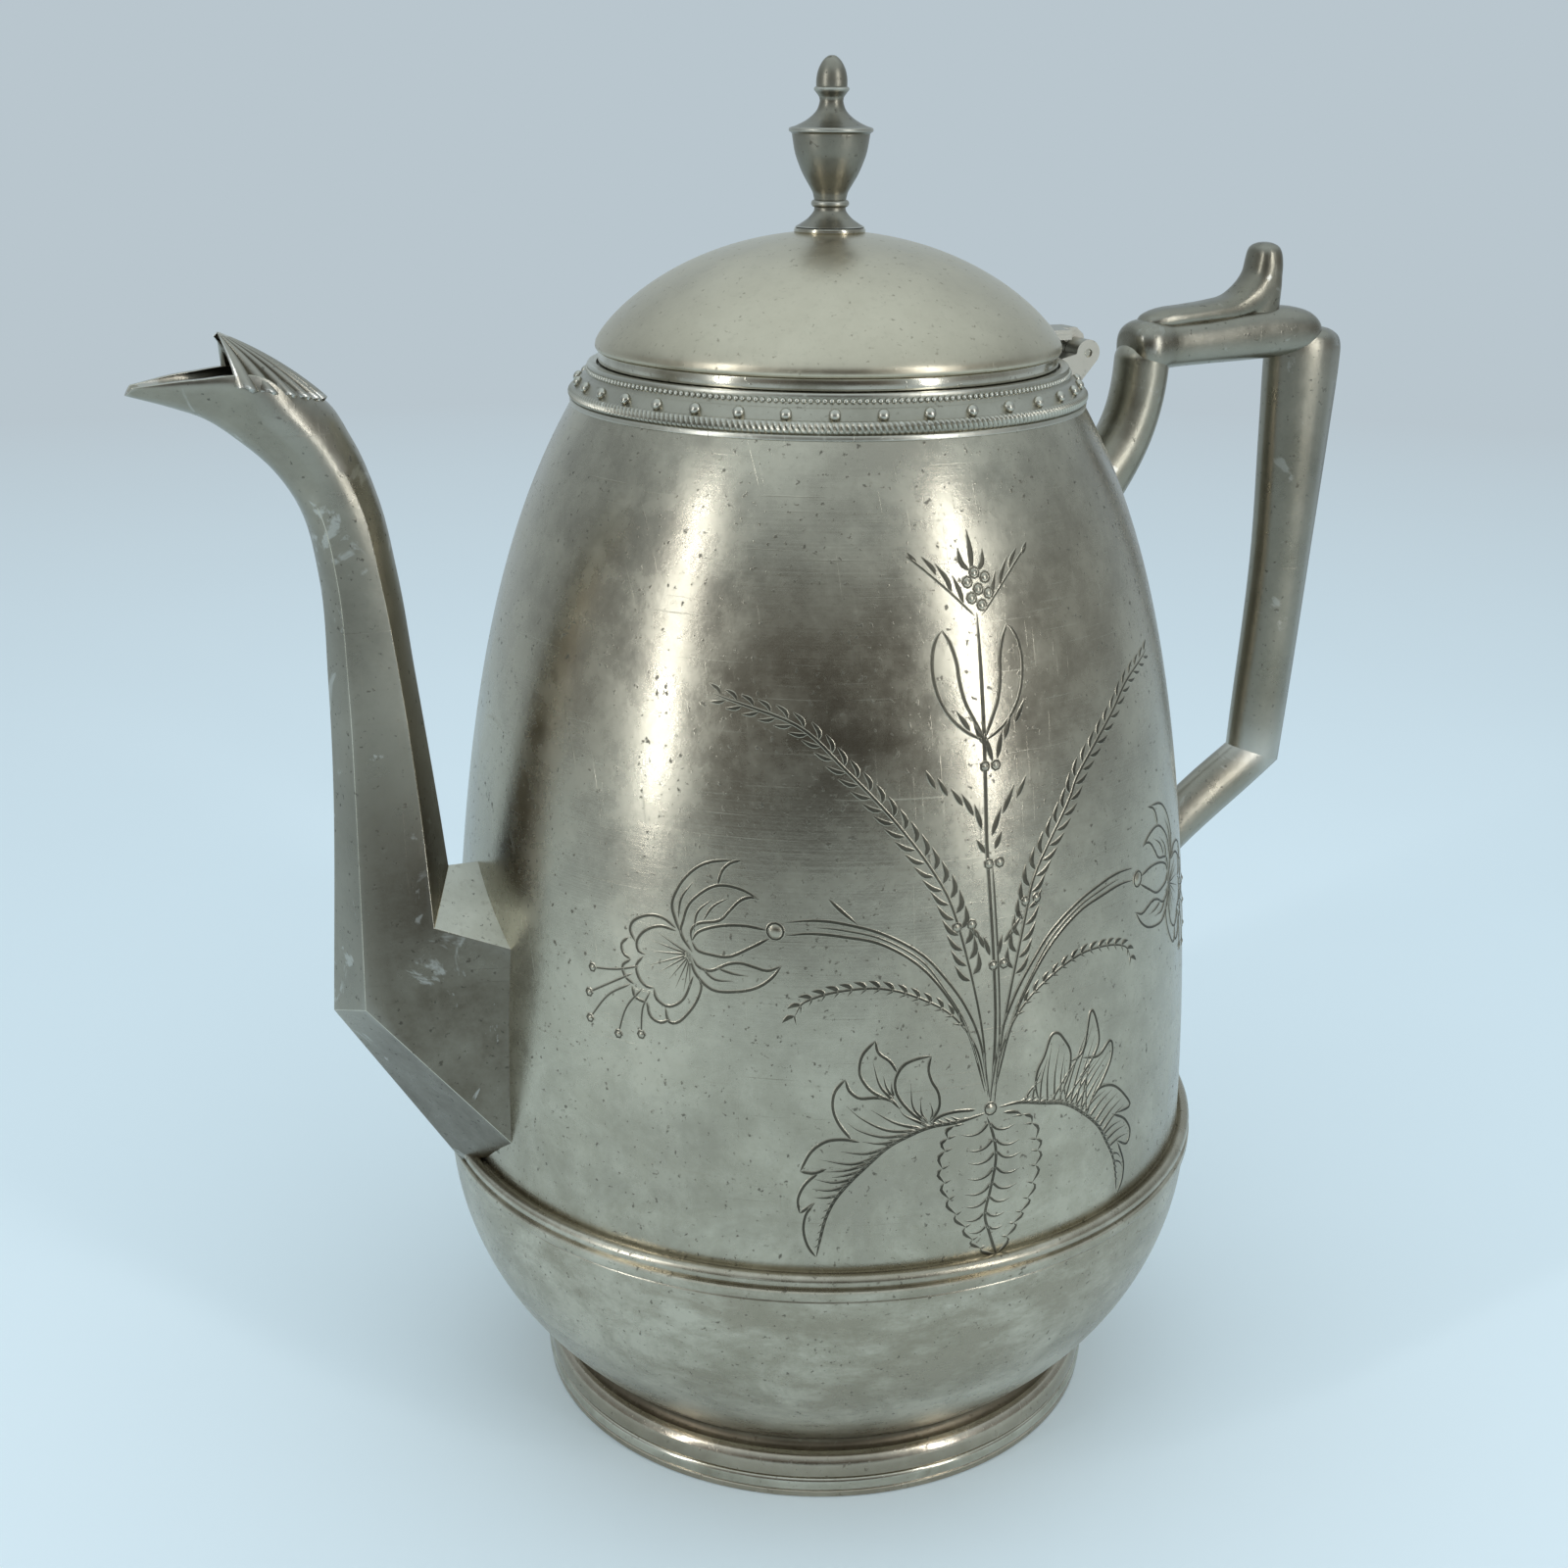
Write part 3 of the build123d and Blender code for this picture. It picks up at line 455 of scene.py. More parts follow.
def make_bowl(materials):
    """Bowl and rim: a round bead, a fine groove, a flat band, then a cut line above the bowl."""
    side = [(bowl_radius(z), z) for z in np.linspace(BOWL_FLOOR, RIM_LOW - 1.0, 40)]
    line = [(bowl_radius(RIM_LOW - 0.7), RIM_LOW - 0.7), (81.0, RIM_LOW - 0.45), (81.25, RIM_LOW - 0.2)]
    band = [(81.75, RIM_LOW - 0.05), (81.95, RIM_LOW + 0.3), (81.98, RIM_LOW + 1.1), (81.9, RIM_LOW + 1.75),
            (81.6, RIM_LOW + 2.0), (81.2, RIM_LOW + 2.15), (81.25, RIM_LOW + 2.35)]
    bead = [(80.35 + 1.45 * cos(t), 63.95 + 1.42 * sin(t))
            for t in np.linspace(radians(-48), radians(118), 14)]
    inner_top = [(79.45, 65.0), (79.2, 64.92), (78.0, 64.6), (77.9, RIM_LOW)]
    inside = [(bowl_radius(z, 1.4), z) for z in np.linspace(RIM_LOW - 0.6, BOWL_FLOOR + 1.4, 24)]
    outline = side + line + band + bead + inner_top + inside + [(0, BOWL_FLOOR + 1.4), (0, BOWL_FLOOR)]
    bowl = lathe("bowl", outline, materials["bowl"], "pot", smooth=40)
    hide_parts("lower_bowl", "bowl_rim")


def make_foot(materials):
    """The foot: a plain wall with a polished half-round stripe, a torus and a cove under the bowl."""
    band = flowing([(60.9, 4.75), (61.3, 5.2), (61.35, 6.6), (61.1, 8.1), (60.3, 9.3), (59.2, 9.9)], 4)
    cove = arc_points((58.95, 10.0), (57.75, 11.4), (59.2, 13.2), 8)
    outline = [(57.7, 0), (60.7, 0), (61.15, 0.25), (61.25, 0.6), (61.25, 1.35), (61.0, 1.55), (60.8, 1.7),
               (60.8, 4.5)]
    outline += band + cove + [(54.8, 13.3), (50.0, 10.4), (50.0, 7.8), (57.7, 4.1)]
    foot = lathe("foot", outline, [materials["foot"], materials["cove"]], "pot", smooth=40)
    # The cove's faces take the painted shade finish, so they are darker than the metal around them.
    for face in foot.data.polygons:
        reach = hypot(face.center.x, face.center.y)
        if face.center.z > 9.95 * MM and reach > 57 * MM:
            face.material_index = 1
    bulge = [(60.85 + 0.7 * cos(t), 3.1 + 1.5 * sin(t)) for t in np.linspace(-1.45, 1.45, 16)]
    stripe = [(60.6, 1.6), *bulge, (60.6, 4.6)]
    lathe("foot_stripe", stripe, materials["trim"], "pot", smooth=40)
    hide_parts("foot_ring")


ROPE_TEETH = 296
ROPE_SLANT = 0.5
ROPE_MIDDLE = 217.55
BEAD_COUNT = 240
STUDS = 36


def make_collar(materials):
    """The collar: skirt, slanted rope, cone for the studs, hollow line, bead row and lip."""
    low = BODY_TOP
    rope = arc_points((50.75, low + 0.85), (51.4, low + 2.05), (50.45, low + 3.15), 8)
    outline = [(50.6, low - 0.35), (51.15, low - 0.2), (51.2, low + 0.55), (50.95, low + 0.8)]
    cone = [(50.2, low + 3.2), (48.85, low + 4.9), (48.35, low + 5.15), (47.95, low + 5.45),
            (47.75, low + 5.95), (47.45, low + 6.15)]
    lip = [(47.55, low + 6.75), (47.62, low + 7.2), (47.4, low + 7.55), (46.6, low + 7.6),
           (45.8, low + 7.5), (45.7, low + 6.5), (46.55, low + 6.4), (46.55, low + 2.6), (50.5, low - 0.2)]
    outline += rope + cone + lip

    def teeth(angle, radius, height):
        off = abs(height - ROPE_MIDDLE) / 1.2
        if off > 1 or radius < 50.3:
            return 0.0
        swing = sin(ROPE_TEETH * angle + (height - ROPE_MIDDLE) * ROPE_SLANT * 2 * pi)
        return 0.26 * (1 - off * off) * (swing - 0.6)

    segments = ROPE_TEETH * 6
    collar = lathe("collar", outline, materials["collar"], "pot", segments=segments, smooth=50, wave=teeth)
    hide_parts("collar_band")


def scatter_beads(name, places, radius, squash, material, body, detail=2):
    """Small domed beads or studs, each turned to face away from the axis."""
    builder = bmesh.new()
    for x, y, z, outward in places:
        turn = Matrix.Rotation(atan2(outward.y, outward.x), 4, "Z")
        lean = Matrix.Rotation(-atan2(outward.z, hypot(outward.x, outward.y)), 4, "Y")
        flat = Matrix.Diagonal((squash, 1, 1, 1))
        where = Matrix.Translation(Vector((x, y, z)) * MM) @ turn @ lean @ flat
        bmesh.ops.create_icosphere(builder, subdivisions=detail, radius=radius * MM, matrix=where)
    return link(name, made_mesh(builder, name, settle=False), material, body, smooth=180)


def make_collar_beads(materials):
    studs = []
    for number in range(STUDS):
        angle = radians(6.6 + 360 / STUDS * number)
        x, y = 49.65 * cos(angle), 49.65 * sin(angle)
        if x > 0 and abs(y) < 9:
            continue
        studs.append((x, y, 219.75, Vector((cos(angle), sin(angle), 0.75)).normalized()))
    scatter_beads("collar_studs", studs, 1.1, 0.75, materials["collar"], "pot", 3)
    beads = []
    for number in range(BEAD_COUNT):
        angle = 2 * pi * number / BEAD_COUNT
        x, y = 47.62 * cos(angle), 47.62 * sin(angle)
        if x > 0 and abs(y) < 8.5:
            continue
        beads.append((x, y, 221.75, Vector((cos(angle), sin(angle), 0)).normalized()))
    scatter_beads("collar_bead_row", beads, 0.52, 0.8, materials["collar"], "pot", 2)


# How far the lid's profile goes from a ball's cap towards an ellipse
SHOULDER = 0.3


def dome_points(radius, low, top, steps=36):
    """Half profile of the lid from edge to crown: a ball's cap, a little fuller at its shoulder."""
    rise = top - low
    sphere = (radius**2 + rise**2) / (2 * rise)
    points = []
    for t in np.linspace(0, pi / 2, steps):
        reach = radius * cos(t)
        cap = top - sphere + (sphere**2 - reach**2) ** 0.5
        points.append((reach, cap + SHOULDER * (low + rise * sin(t) - cap)))
    return points


def make_lid(materials):
    outer = dome_points(46.0, 226.4, 247.9)
    inner = dome_points(44.3, 225.4, 246.8)
    inner = [point for point in inner if point[0] > 1.7] + [(1.7, 246.8)]
    outer = [point for point in outer if point[0] > 1.7] + [(1.7, 247.9)]
    edge = [(44.35, 225.42), (45.35, 225.42), (45.7, 225.55), (45.9, 225.85), (45.98, 226.3)]
    dome = [point for point in outer if point[0] < 45.95]
    dome_piece = lathe("dome", edge + dome + inner[::-1], materials["lid"], "lid", smooth=35)
    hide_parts("lid_dome")
    bezel = softened([(45.0, 222.25), (45.4, 223.2), (45.45, 224.5), (45.3, 225.38), (43.8, 225.4),
                      (43.8, 223.2), (40.6, 223.2), (40.6, 217.2), (41.6, 217.2), (41.6, 222.2)], 0.3)
    bezel_piece = lathe("bezel", bezel, materials["trim"], "lid", smooth=35)
    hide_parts("lid_bezel")


def make_finial(materials):
    """Turned finial: flared stem on a round plate, urn with a thin rim, narrow neck, cap and drop."""
    top = 248.6

    def raised(points):
        return [(radius, top + rise) for radius, rise in points]

    stem = flowing(raised([(6.75, 0.05), (5.6, 0.7), (4.2, 1.7), (3.2, 2.9), (3.05, 3.6)]), 5)
    bead = arc_points((3.1, top + 3.7), (3.7, top + 4.4), (3.1, top + 5.1), 6)
    urn = flowing(raised([(3.15, 5.4), (3.5, 6.6), (4.5, 8.3), (5.6, 10.3), (6.85, 13.5), (7.4, 16.4),
                          (7.5, 17.2)]), 5)
    rim = raised([(7.75, 17.45), (8.05, 17.6), (8.15, 17.85), (8.12, 18.1), (7.95, 18.3)])
    flare = flowing(raised([(7.7, 18.4), (6.6, 18.75), (4.6, 19.8), (2.95, 21.3), (2.3, 22.9),
                            (2.35, 23.8)]), 5)
    cap = raised([(2.55, 24.1), (3.0, 24.7), (3.35, 25.1), (3.42, 25.4), (3.2, 25.65), (2.95, 25.75)])
    tip = flowing(raised([(2.98, 26.0), (2.95, 27.2), (2.6, 28.8), (1.8, 30.3), (0.8, 31.2),
                          (0.0, 31.38)]), 5)
    outline = stem + bead + urn + rim + flare + cap + tip
    outline += [(0, top - 4.4), (1.6, top - 4.4), (1.6, top + 0.02)]
    finial = lathe("finial_urn", outline, materials["finial"], "lid", segments=96, smooth=38)
    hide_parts("finial")
    plate = raised([(1.66, -1.1), (1.66, 0), (6.5, 0), (6.85, -0.15), (7.0, -0.5), (6.95, -0.95),
                    (6.75, -1.35), (6.3, -1.42)])
    button = lathe("finial_button", plate, materials["trim"], "lid", segments=128,
                   smooth=35)
    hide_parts("finial_plate")


def soften_edges(piece, width, angle, segments=3):
    bevel = piece.modifiers.new("soft_edges", "BEVEL")
    bevel.width = width * MM
    bevel.segments = segments
    bevel.limit_method = "ANGLE"
    bevel.angle_limit = radians(angle)
    bevel.use_clamp_overlap = True
    bevel.harden_normals = False
    return bevel


SPOUT_ROOT = ((-7.1, 127.7), (-7.1, 46.0), ((0.155, 19.0), (0.71, 21.4)), 0.0)
SPOUT_RUN = [
    ((2.3, 127.9), (26.7, 100.8), ((0.27, 13.2), (0.84, 12.0)), 0.0),
    ((4.1, 145.0), (23.9, 145.0), ((0.27, 8.8), (0.87, 8.0)), 0.02),
    ((6.8, 168.0), (23.4, 168.0), ((0.28, 8.0), (0.86, 7.2)), 0.03),
    ((9.2, 188.0), (23.7, 188.0), ((0.33, 7.3), (0.86, 6.3)), 0.06),
    ((11.9, 202.0), (26.1, 200.6), ((0.33, 6.9), (0.84, 5.8)), 0.11),
    ((16.2, 213.4), (31.2, 209.0), ((0.33, 6.9), (0.8, 5.2)), 0.15),
    ((21.8, 221.4), (37.6, 215.0), ((0.28, 7.2), (0.78, 5.2)), 0.17),
    ((31.5, 226.0), (41.6, 217.9), ((0.05, 7.4), (0.72, 5.0)), 0.15),
    ((43.4, 225.8), (48.0, 220.5), ((0.03, 6.2), (0.65, 4.2)), 0.13),
    ((53.6, 224.3), (54.9, 222.7), ((0.03, 2.4), (0.6, 1.5)), 0.1),
]
SPOUT_WALL = 1.3
SIDE_STEPS = 6
RUN_STEPS = 9
MOUTH_STATION, BORE_STATION = 6.75, 4


def spout_ring(station, inset=0.0):
    """Points round one cross-section: six bowed sides between the rear ridge and the front keel."""
    back, front, ((rear_share, rear_half), (fore_share, fore_half)), swell = station
    ridge = Vector((-BODY_LOW_RADIUS - back[0], 0, back[1]))
    keel = Vector((-BODY_LOW_RADIUS - front[0], 0, front[1]))
    depth = (keel - ridge).length
    inset = min(inset, 0.3 * depth, 0.4 * rear_half)
    rear, fore = depth * rear_share, depth * fore_share - 0.4 * inset
    corners = [Vector((1.25 * inset, 0)), Vector((rear, rear_half - inset)),
               Vector((fore, max(0.3, fore_half - inset))), Vector((depth - 1.25 * inset, 0)),
               Vector((fore, min(-0.3, inset - fore_half))), Vector((rear, inset - rear_half))]
    if rear_share < 0.1:
        corners[0] = Vector((rear, 0))
    middle = Vector((depth / 2, 0))
    ring = []
    for number, corner in enumerate(corners):
        following = corners[(number + 1) % 6]
        half_way = (corner + following) / 2
        bulge = (half_way - middle).normalized() * (following - corner).length * swell
        for step in range(SIDE_STEPS):
            share = step / SIDE_STEPS
            spot = corner.lerp(following, share) + bulge * 4 * share * (1 - share)
            ring.append(np.array(ridge + (keel - ridge).normalized() * spot.x + Vector((0, spot.y, 0))))
    return np.array(ring)


def pot_radius(height):
    """The outside of the pot at a height, whichever of body, rim and bowl is there."""
    if height > 65.2:
        return body_radius(height) + SKIN
    if height > 60.3:
        return 81.5
    return bowl_radius(height)


def run_rings(rings, start, end):
    """Rings along the spout, smooth through the stations and spaced by their distance."""
    gaps = [np.linalg.norm((b - a).mean(axis=0)) for a, b in zip(rings, rings[1:])]
    slopes = []
    for k in range(len(rings)):
        before = (rings[k] - rings[k - 1]) / gaps[k - 1] if k > 0 else None
        after = (rings[k + 1] - rings[k]) / gaps[k] if k < len(rings) - 1 else None
        if before is None or after is None:
            slopes.append(after if before is None else before)
        else:
            slopes.append((before * gaps[k] + after * gaps[k - 1]) / (gaps[k] + gaps[k - 1]))
    wanted = np.arange(start * RUN_STEPS, end * RUN_STEPS + 1) / RUN_STEPS
    smooth = []
    for place in wanted:
        k = min(int(place), len(rings) - 2)
        t, gap = place - k, gaps[k]
        smooth.append(hermite(rings[k], rings[k + 1], gap * slopes[k], gap * slopes[k + 1], t))
    return smooth, wanted


def spout_root():
    """Where the root's faces run into the side of the pot."""
    outer, inner = spout_ring(SPOUT_RUN[0]), spout_ring(SPOUT_ROOT)
    ring = []
    for start, end in zip(outer, inner):
        near, far = 0.0, 1.0
        for _ in range(24):
            half = (near + far) / 2
            spot = start + (end - start) * half
            near, far = (near, half) if hypot(spot[0], spot[1]) < pot_radius(spot[2]) - 0.3 else (half, far)
        ring.append(start + (end - start) * far)
    return np.array(ring)


def make_spout(materials):
    """The cast spout: a faceted box at its root that turns into a round gooseneck with an open mouth."""
    builder = bmesh.new()
    stations = [spout_ring(station) for station in SPOUT_RUN]
    outer, places = run_rings(stations, 0, len(stations) - 1)
    root = spout_root()
    box = [root + (outer[0] - root) * step / 6 for step in range(6)]
    bore, bore_places = run_rings([spout_ring(station, SPOUT_WALL) for station in SPOUT_RUN],
                                  BORE_STATION, len(stations) - 1)
    top_sides = set(range(SIDE_STEPS)) | set(range(5 * SIDE_STEPS, 6 * SIDE_STEPS))

    def skin(rings, marks):
        rows = [[builder.verts.new(spot * MM) for spot in ring] for ring in rings]
        close_rings(builder, rows, lambda row, number: marks[row] >= MOUTH_STATION and number in top_sides)
        return rows

    outside = skin(box + outer, [-1.0] * 6 + list(places))
    inside = skin(bore, list(bore_places))
    mouth_outer = [row for row, mark in zip(outside, [-1.0] * 6 + list(places)) if mark >= MOUTH_STATION]
    mouth_inner = [row for row, mark in zip(inside, bore_places) if mark >= MOUTH_STATION]
    for corner in (SIDE_STEPS, 5 * SIDE_STEPS):
        for (a, b), (c, d) in zip(zip(mouth_outer, mouth_outer[1:]), zip(mouth_inner, mouth_inner[1:])):
            builder.faces.new((a[corner], b[corner], d[corner], c[corner]))
    for number in range(SIDE_STEPS, 5 * SIDE_STEPS):
        outer_edge = (outside[-1][number], outside[-1][number + 1])
        builder.faces.new((*outer_edge, inside[-1][number + 1], inside[-1][number]))
    bmesh.ops.remove_doubles(builder, verts=builder.verts, dist=0.01 * MM)
    mesh = made_mesh(builder, "spout")
    finishes = [materials["cast"], materials["edge"], materials["pale_cast"]]
    spout = link("spout", mesh, finishes, "pot", smooth=20)
    for face in mesh.polygons:
        at_root = face.center.x > -107 * MM and face.center.z > 100 * MM and face.center.z < 128.5 * MM
        if at_root and face.normal.z > 0.35:
            face.material_index = 2
    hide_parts("spout_half_right", "spout_half_left")
    # The bevel faces take the bright edge finish: a painted highlight along the spout's creases, as well as
    # wear.
    soften_edges(spout, 0.45, 17).material = 1


CREST_PEAK = (-117.6, 233.1)
CREST_FOOT = (-116.0, 224.5)
CREST_LENGTH, CREST_HALF_WIDTH, CREST_SLOPE = 17.2, 8.9, radians(12.5)
CREST_RIBS = 13


def make_crest(materials):
    """A fan of rounded ribs from the peak over the back of the mouth, with a scalloped edge."""
    builder = bmesh.new()
    peak = Vector((CREST_PEAK[0], 0, CREST_PEAK[1]))
    foot = Vector((CREST_FOOT[0], 0, CREST_FOOT[1]))
    around, along = CREST_RIBS * 10, 22
    rows = []
    for step in range(along + 1):
        share = 0.03 + 0.97 * step / along
        row = []
        for number in range(around + 1):
            turn = pi * (number / around - 0.5)
            rib = abs(sin(pi * CREST_RIBS * number / around))
            reach = 1 - 0.055 * (1 - rib**0.6) * share
            out, aside = CREST_LENGTH * cos(turn) * reach, CREST_HALF_WIDTH * sin(turn) * reach
            edge = foot + Vector((out * cos(CREST_SLOPE), aside, -out * sin(CREST_SLOPE)))
            spot = peak.lerp(edge, share)
            outward = Vector((cos(turn) * 0.5, sin(turn), 0.75)).normalized()
            crown = 4 * share * (1 - share)
            spot += outward * (crown + 0.85 * (rib**0.8 - 0.8) * share**0.8)
            row.append(builder.verts.new(spot * MM))
        rows.append(row)
    for low, high in zip(rows, rows[1:]):
        for number in range(around):
            builder.faces.new((low[number], high[number], high[number + 1], low[number + 1]))
    mesh = made_mesh(builder, "crest")
    if sum(face.normal.z for face in mesh.polygons) < 0:
        mesh.flip_normals()
    crest = link("crest", mesh, materials["cast"], "pot", smooth=60)
    wall = crest.modifiers.new("wall", "SOLIDIFY")
    wall.thickness = 1.0 * MM
    wall.offset = -1
    soften_edges(crest, 0.15, 50, 2)
    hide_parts("spout_crest")


def grip_outline(depth, width, steps=9):
    """A half-round face towards the pot, a ridge on each side and a narrow back."""
    ridge = 0.16 * depth
    half = width / 2
    inner = [(ridge - (ridge + depth / 2) * cos(t), half * sin(t))
             for t in np.linspace(-pi / 2, pi / 2, 2 * steps + 1)]
    side = [(ridge + 0.25 * (depth / 2 - ridge), 0.93 * half), (depth / 2 - 0.9, 0.62 * half),
            (depth / 2 - 0.15, 0.4 * half)]
    return inner + side + [(depth / 2, 0)] + [(d, -w) for d, w in reversed(side)]


def round_outline(depth, width, power=2.5, steps=32):
    """A soft rectangle with a full round to every corner."""
    outline = []
    for t in np.linspace(0, 2 * pi, steps, endpoint=False):
        x, y = cos(t), sin(t)
        outline.append((depth / 2 * abs(x) ** (2 / power) * (1 if x > 0 else -1),
                        width / 2 * abs(y) ** (2 / power) * (1 if y > 0 else -1)))
    return outline


def sweep(builder, stations, section, steps=6):
    """A closed bar through stations of (x, z, lean in degrees, depth, width)."""
    values = np.array(stations, dtype=float)
    smooth = []
    for k in range(len(values) - 1):
        a, b, c, d = values[max(k - 1, 0)], values[k], values[k + 1], values[min(k + 2, len(values) - 1)]
        gap = hypot(*(c - b)[:2])
        start = (c - a) / max(1e-6, gap + (hypot(*(b - a)[:2]) if k > 0 else 0)) * gap
        end = (d - b) / max(1e-6, gap + (hypot(*(d - c)[:2]) if k < len(values) - 2 else 0)) * gap
        for step in range(steps):
            t = step / steps
            smooth.append(hermite(b, c, start, end, t))
    smooth.append(values[-1])
    rows = []
    for x, z, lean, depth, width in smooth:
        outward = Vector((cos(radians(lean)), 0, sin(radians(lean))))
        centre = Vector((x, 0, z))
        rows.append([builder.verts.new((centre + outward * d + Vector((0, w, 0))) * MM)
                     for d, w in section(max(depth, 0.1), max(width, 0.1))])
    close_rings(builder, rows)
    builder.faces.new(rows[0][::-1])
    builder.faces.new(rows[-1])


def swept_piece(name, runs, section, material, node, voxel=None, rounds=0, smooth=180):
    builder = bmesh.new()
    for run in runs:
        sweep(builder, run, section)
    piece = link(name, made_mesh(builder, name), material, "pot", smooth=smooth)
    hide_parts(node)
    if voxel:
        remesh = piece.modifiers.new("one_skin", "REMESH")
        remesh.mode = "VOXEL"
        remesh.voxel_size = voxel * MM
        remesh.use_smooth_shade = True
        relax = piece.modifiers.new("relax", "SMOOTH")
        relax.factor = 0.5
        relax.iterations = rounds
    return piece


MITRE = (111.0, 128.0, -20, 13.9, 9.6)


def make_handle(materials):
    """The handle's cast bars: upright grip, lower strut, top bar and the thumb rest on it."""
    metal = materials["handle"]
    grip = [MITRE, (113.9, 172.0, 0, 13.8, 11.2), (114.7, 205.0, 0, 16.4, 12.6),
            (114.9, 219.5, 0, 17.4, 13.2), (114.9, 223.0, 0, 16.6, 12.6), (114.9, 224.7, 0, 13.6, 10.6),
            (114.9, 225.6, 0, 8.0, 6.4),
            (114.9, 225.8, 0, 2.0, 1.6)]
    swept_piece("handle_grip", [grip], grip_outline, metal, "handle_post", smooth=32)
    foot = body_radius(100.0) - 0.7
    strut = [MITRE, (foot + 14.0, 113.5, -50, 11.6, 9.6), (foot + 3.5, 103.2, -62, 11.0, 9.6),
             (foot + 0.2, 100.2, -84, 12.4, 9.8)]
    swept_piece("handle_strut", [strut], grip_outline, metal, "handle_lower_strut", smooth=32)
    bar = [(69.5, 223.0, -90, 2.0, 3.0), (69.9, 223.0, -90, 6.4, 8.0), (71.2, 222.9, -90, 9.6, 11.4),
           (73.6, 222.8, -90, 11.4, 13.0), (76.2, 222.9, -90, 11.2, 12.8), (79.0, 223.2, -90, 10.2, 12.0),
           (88.0, 223.7, -90, 10.2, 12.4), (100.0, 224.6, -90, 11.2, 12.9), (109.0, 224.9, -90, 10.8, 12.9),
           (114.0, 224.7, -90, 9.4, 12.0), (116.6, 224.4, -90, 7.0, 9.6), (117.9, 224.2, -90, 4.0, 5.6),
           (118.2, 224.1, -90, 1.0, 1.6)]
    swept_piece("handle_bar", [bar], round_outline, metal, "handle_top_bar")
    tongue = [(72.6, 227.4, -90, 1.6, 3.0), (74.2, 227.8, -88, 3.4, 6.6), (78.0, 228.4, -86, 4.6, 8.4),
              (84.0, 229.0, -84, 4.6, 9.0), (90.0, 229.5, -82, 5.0, 9.2), (95.5, 230.2, -70, 6.0, 9.2),
              (100.4, 232.6, -42, 8.0, 9.2), (102.9, 236.6, -14, 7.6, 9.0), (103.3, 240.2, -4, 6.9, 8.6),
              (103.2, 242.6, 0, 5.6, 7.2), (103.2, 243.5, 0, 3.2, 4.4), (103.2, 243.8, 0, 0.8, 1.2)]
    heel = [(102.0, 228.4, 0, 10.0, 8.6), (102.3, 231.0, 0, 9.4, 8.8), (103.2, 235.0, 0, 7.4, 9.0),
            (103.2, 239.0, 0, 7.0, 8.6)]
    swept_piece("thumb_rest", [tongue, heel], round_outline, metal, "handle_thumb_rest", 0.4, 8)


# Engraving: a bright-cut flower spray. Points are millimetres round the body and height.
SPRAY_ANGLE = radians(-90.9)
CUT_STEP = 0.7
# A cut line has raised edges, with borders just under the skin and a middle just above it
BURR_WIDTH, BURR_HEIGHT = 0.16, 0.11
EDGE_LIFT, GROOVE_LIFT = -0.02, 0.012
# A berry: sides, share of its radius and height of each layer, and height of its top
BERRY_SIDES = 12
BERRY_LAYERS = ((0.82, 0.0), (0.6, 0.2), (0.3, 0.3))
BERRY_TOP = 0.33
# The fronds' drops and the sprigs' hooks are left out below these heights
FROND_FOOT, SPRIG_FOOT = 120.5, 112


def line_profile(share):
    return min(1.0, sqrt(min(share, 1 - share) / 0.12 + 0.02))


def leaf_profile(share):
    return max(0.08, sin(pi * share**0.75))


def tail_profile(share):
    return max(0.1, (1 - share) ** 0.7 * min(1.0, 0.4 + share / 0.08))


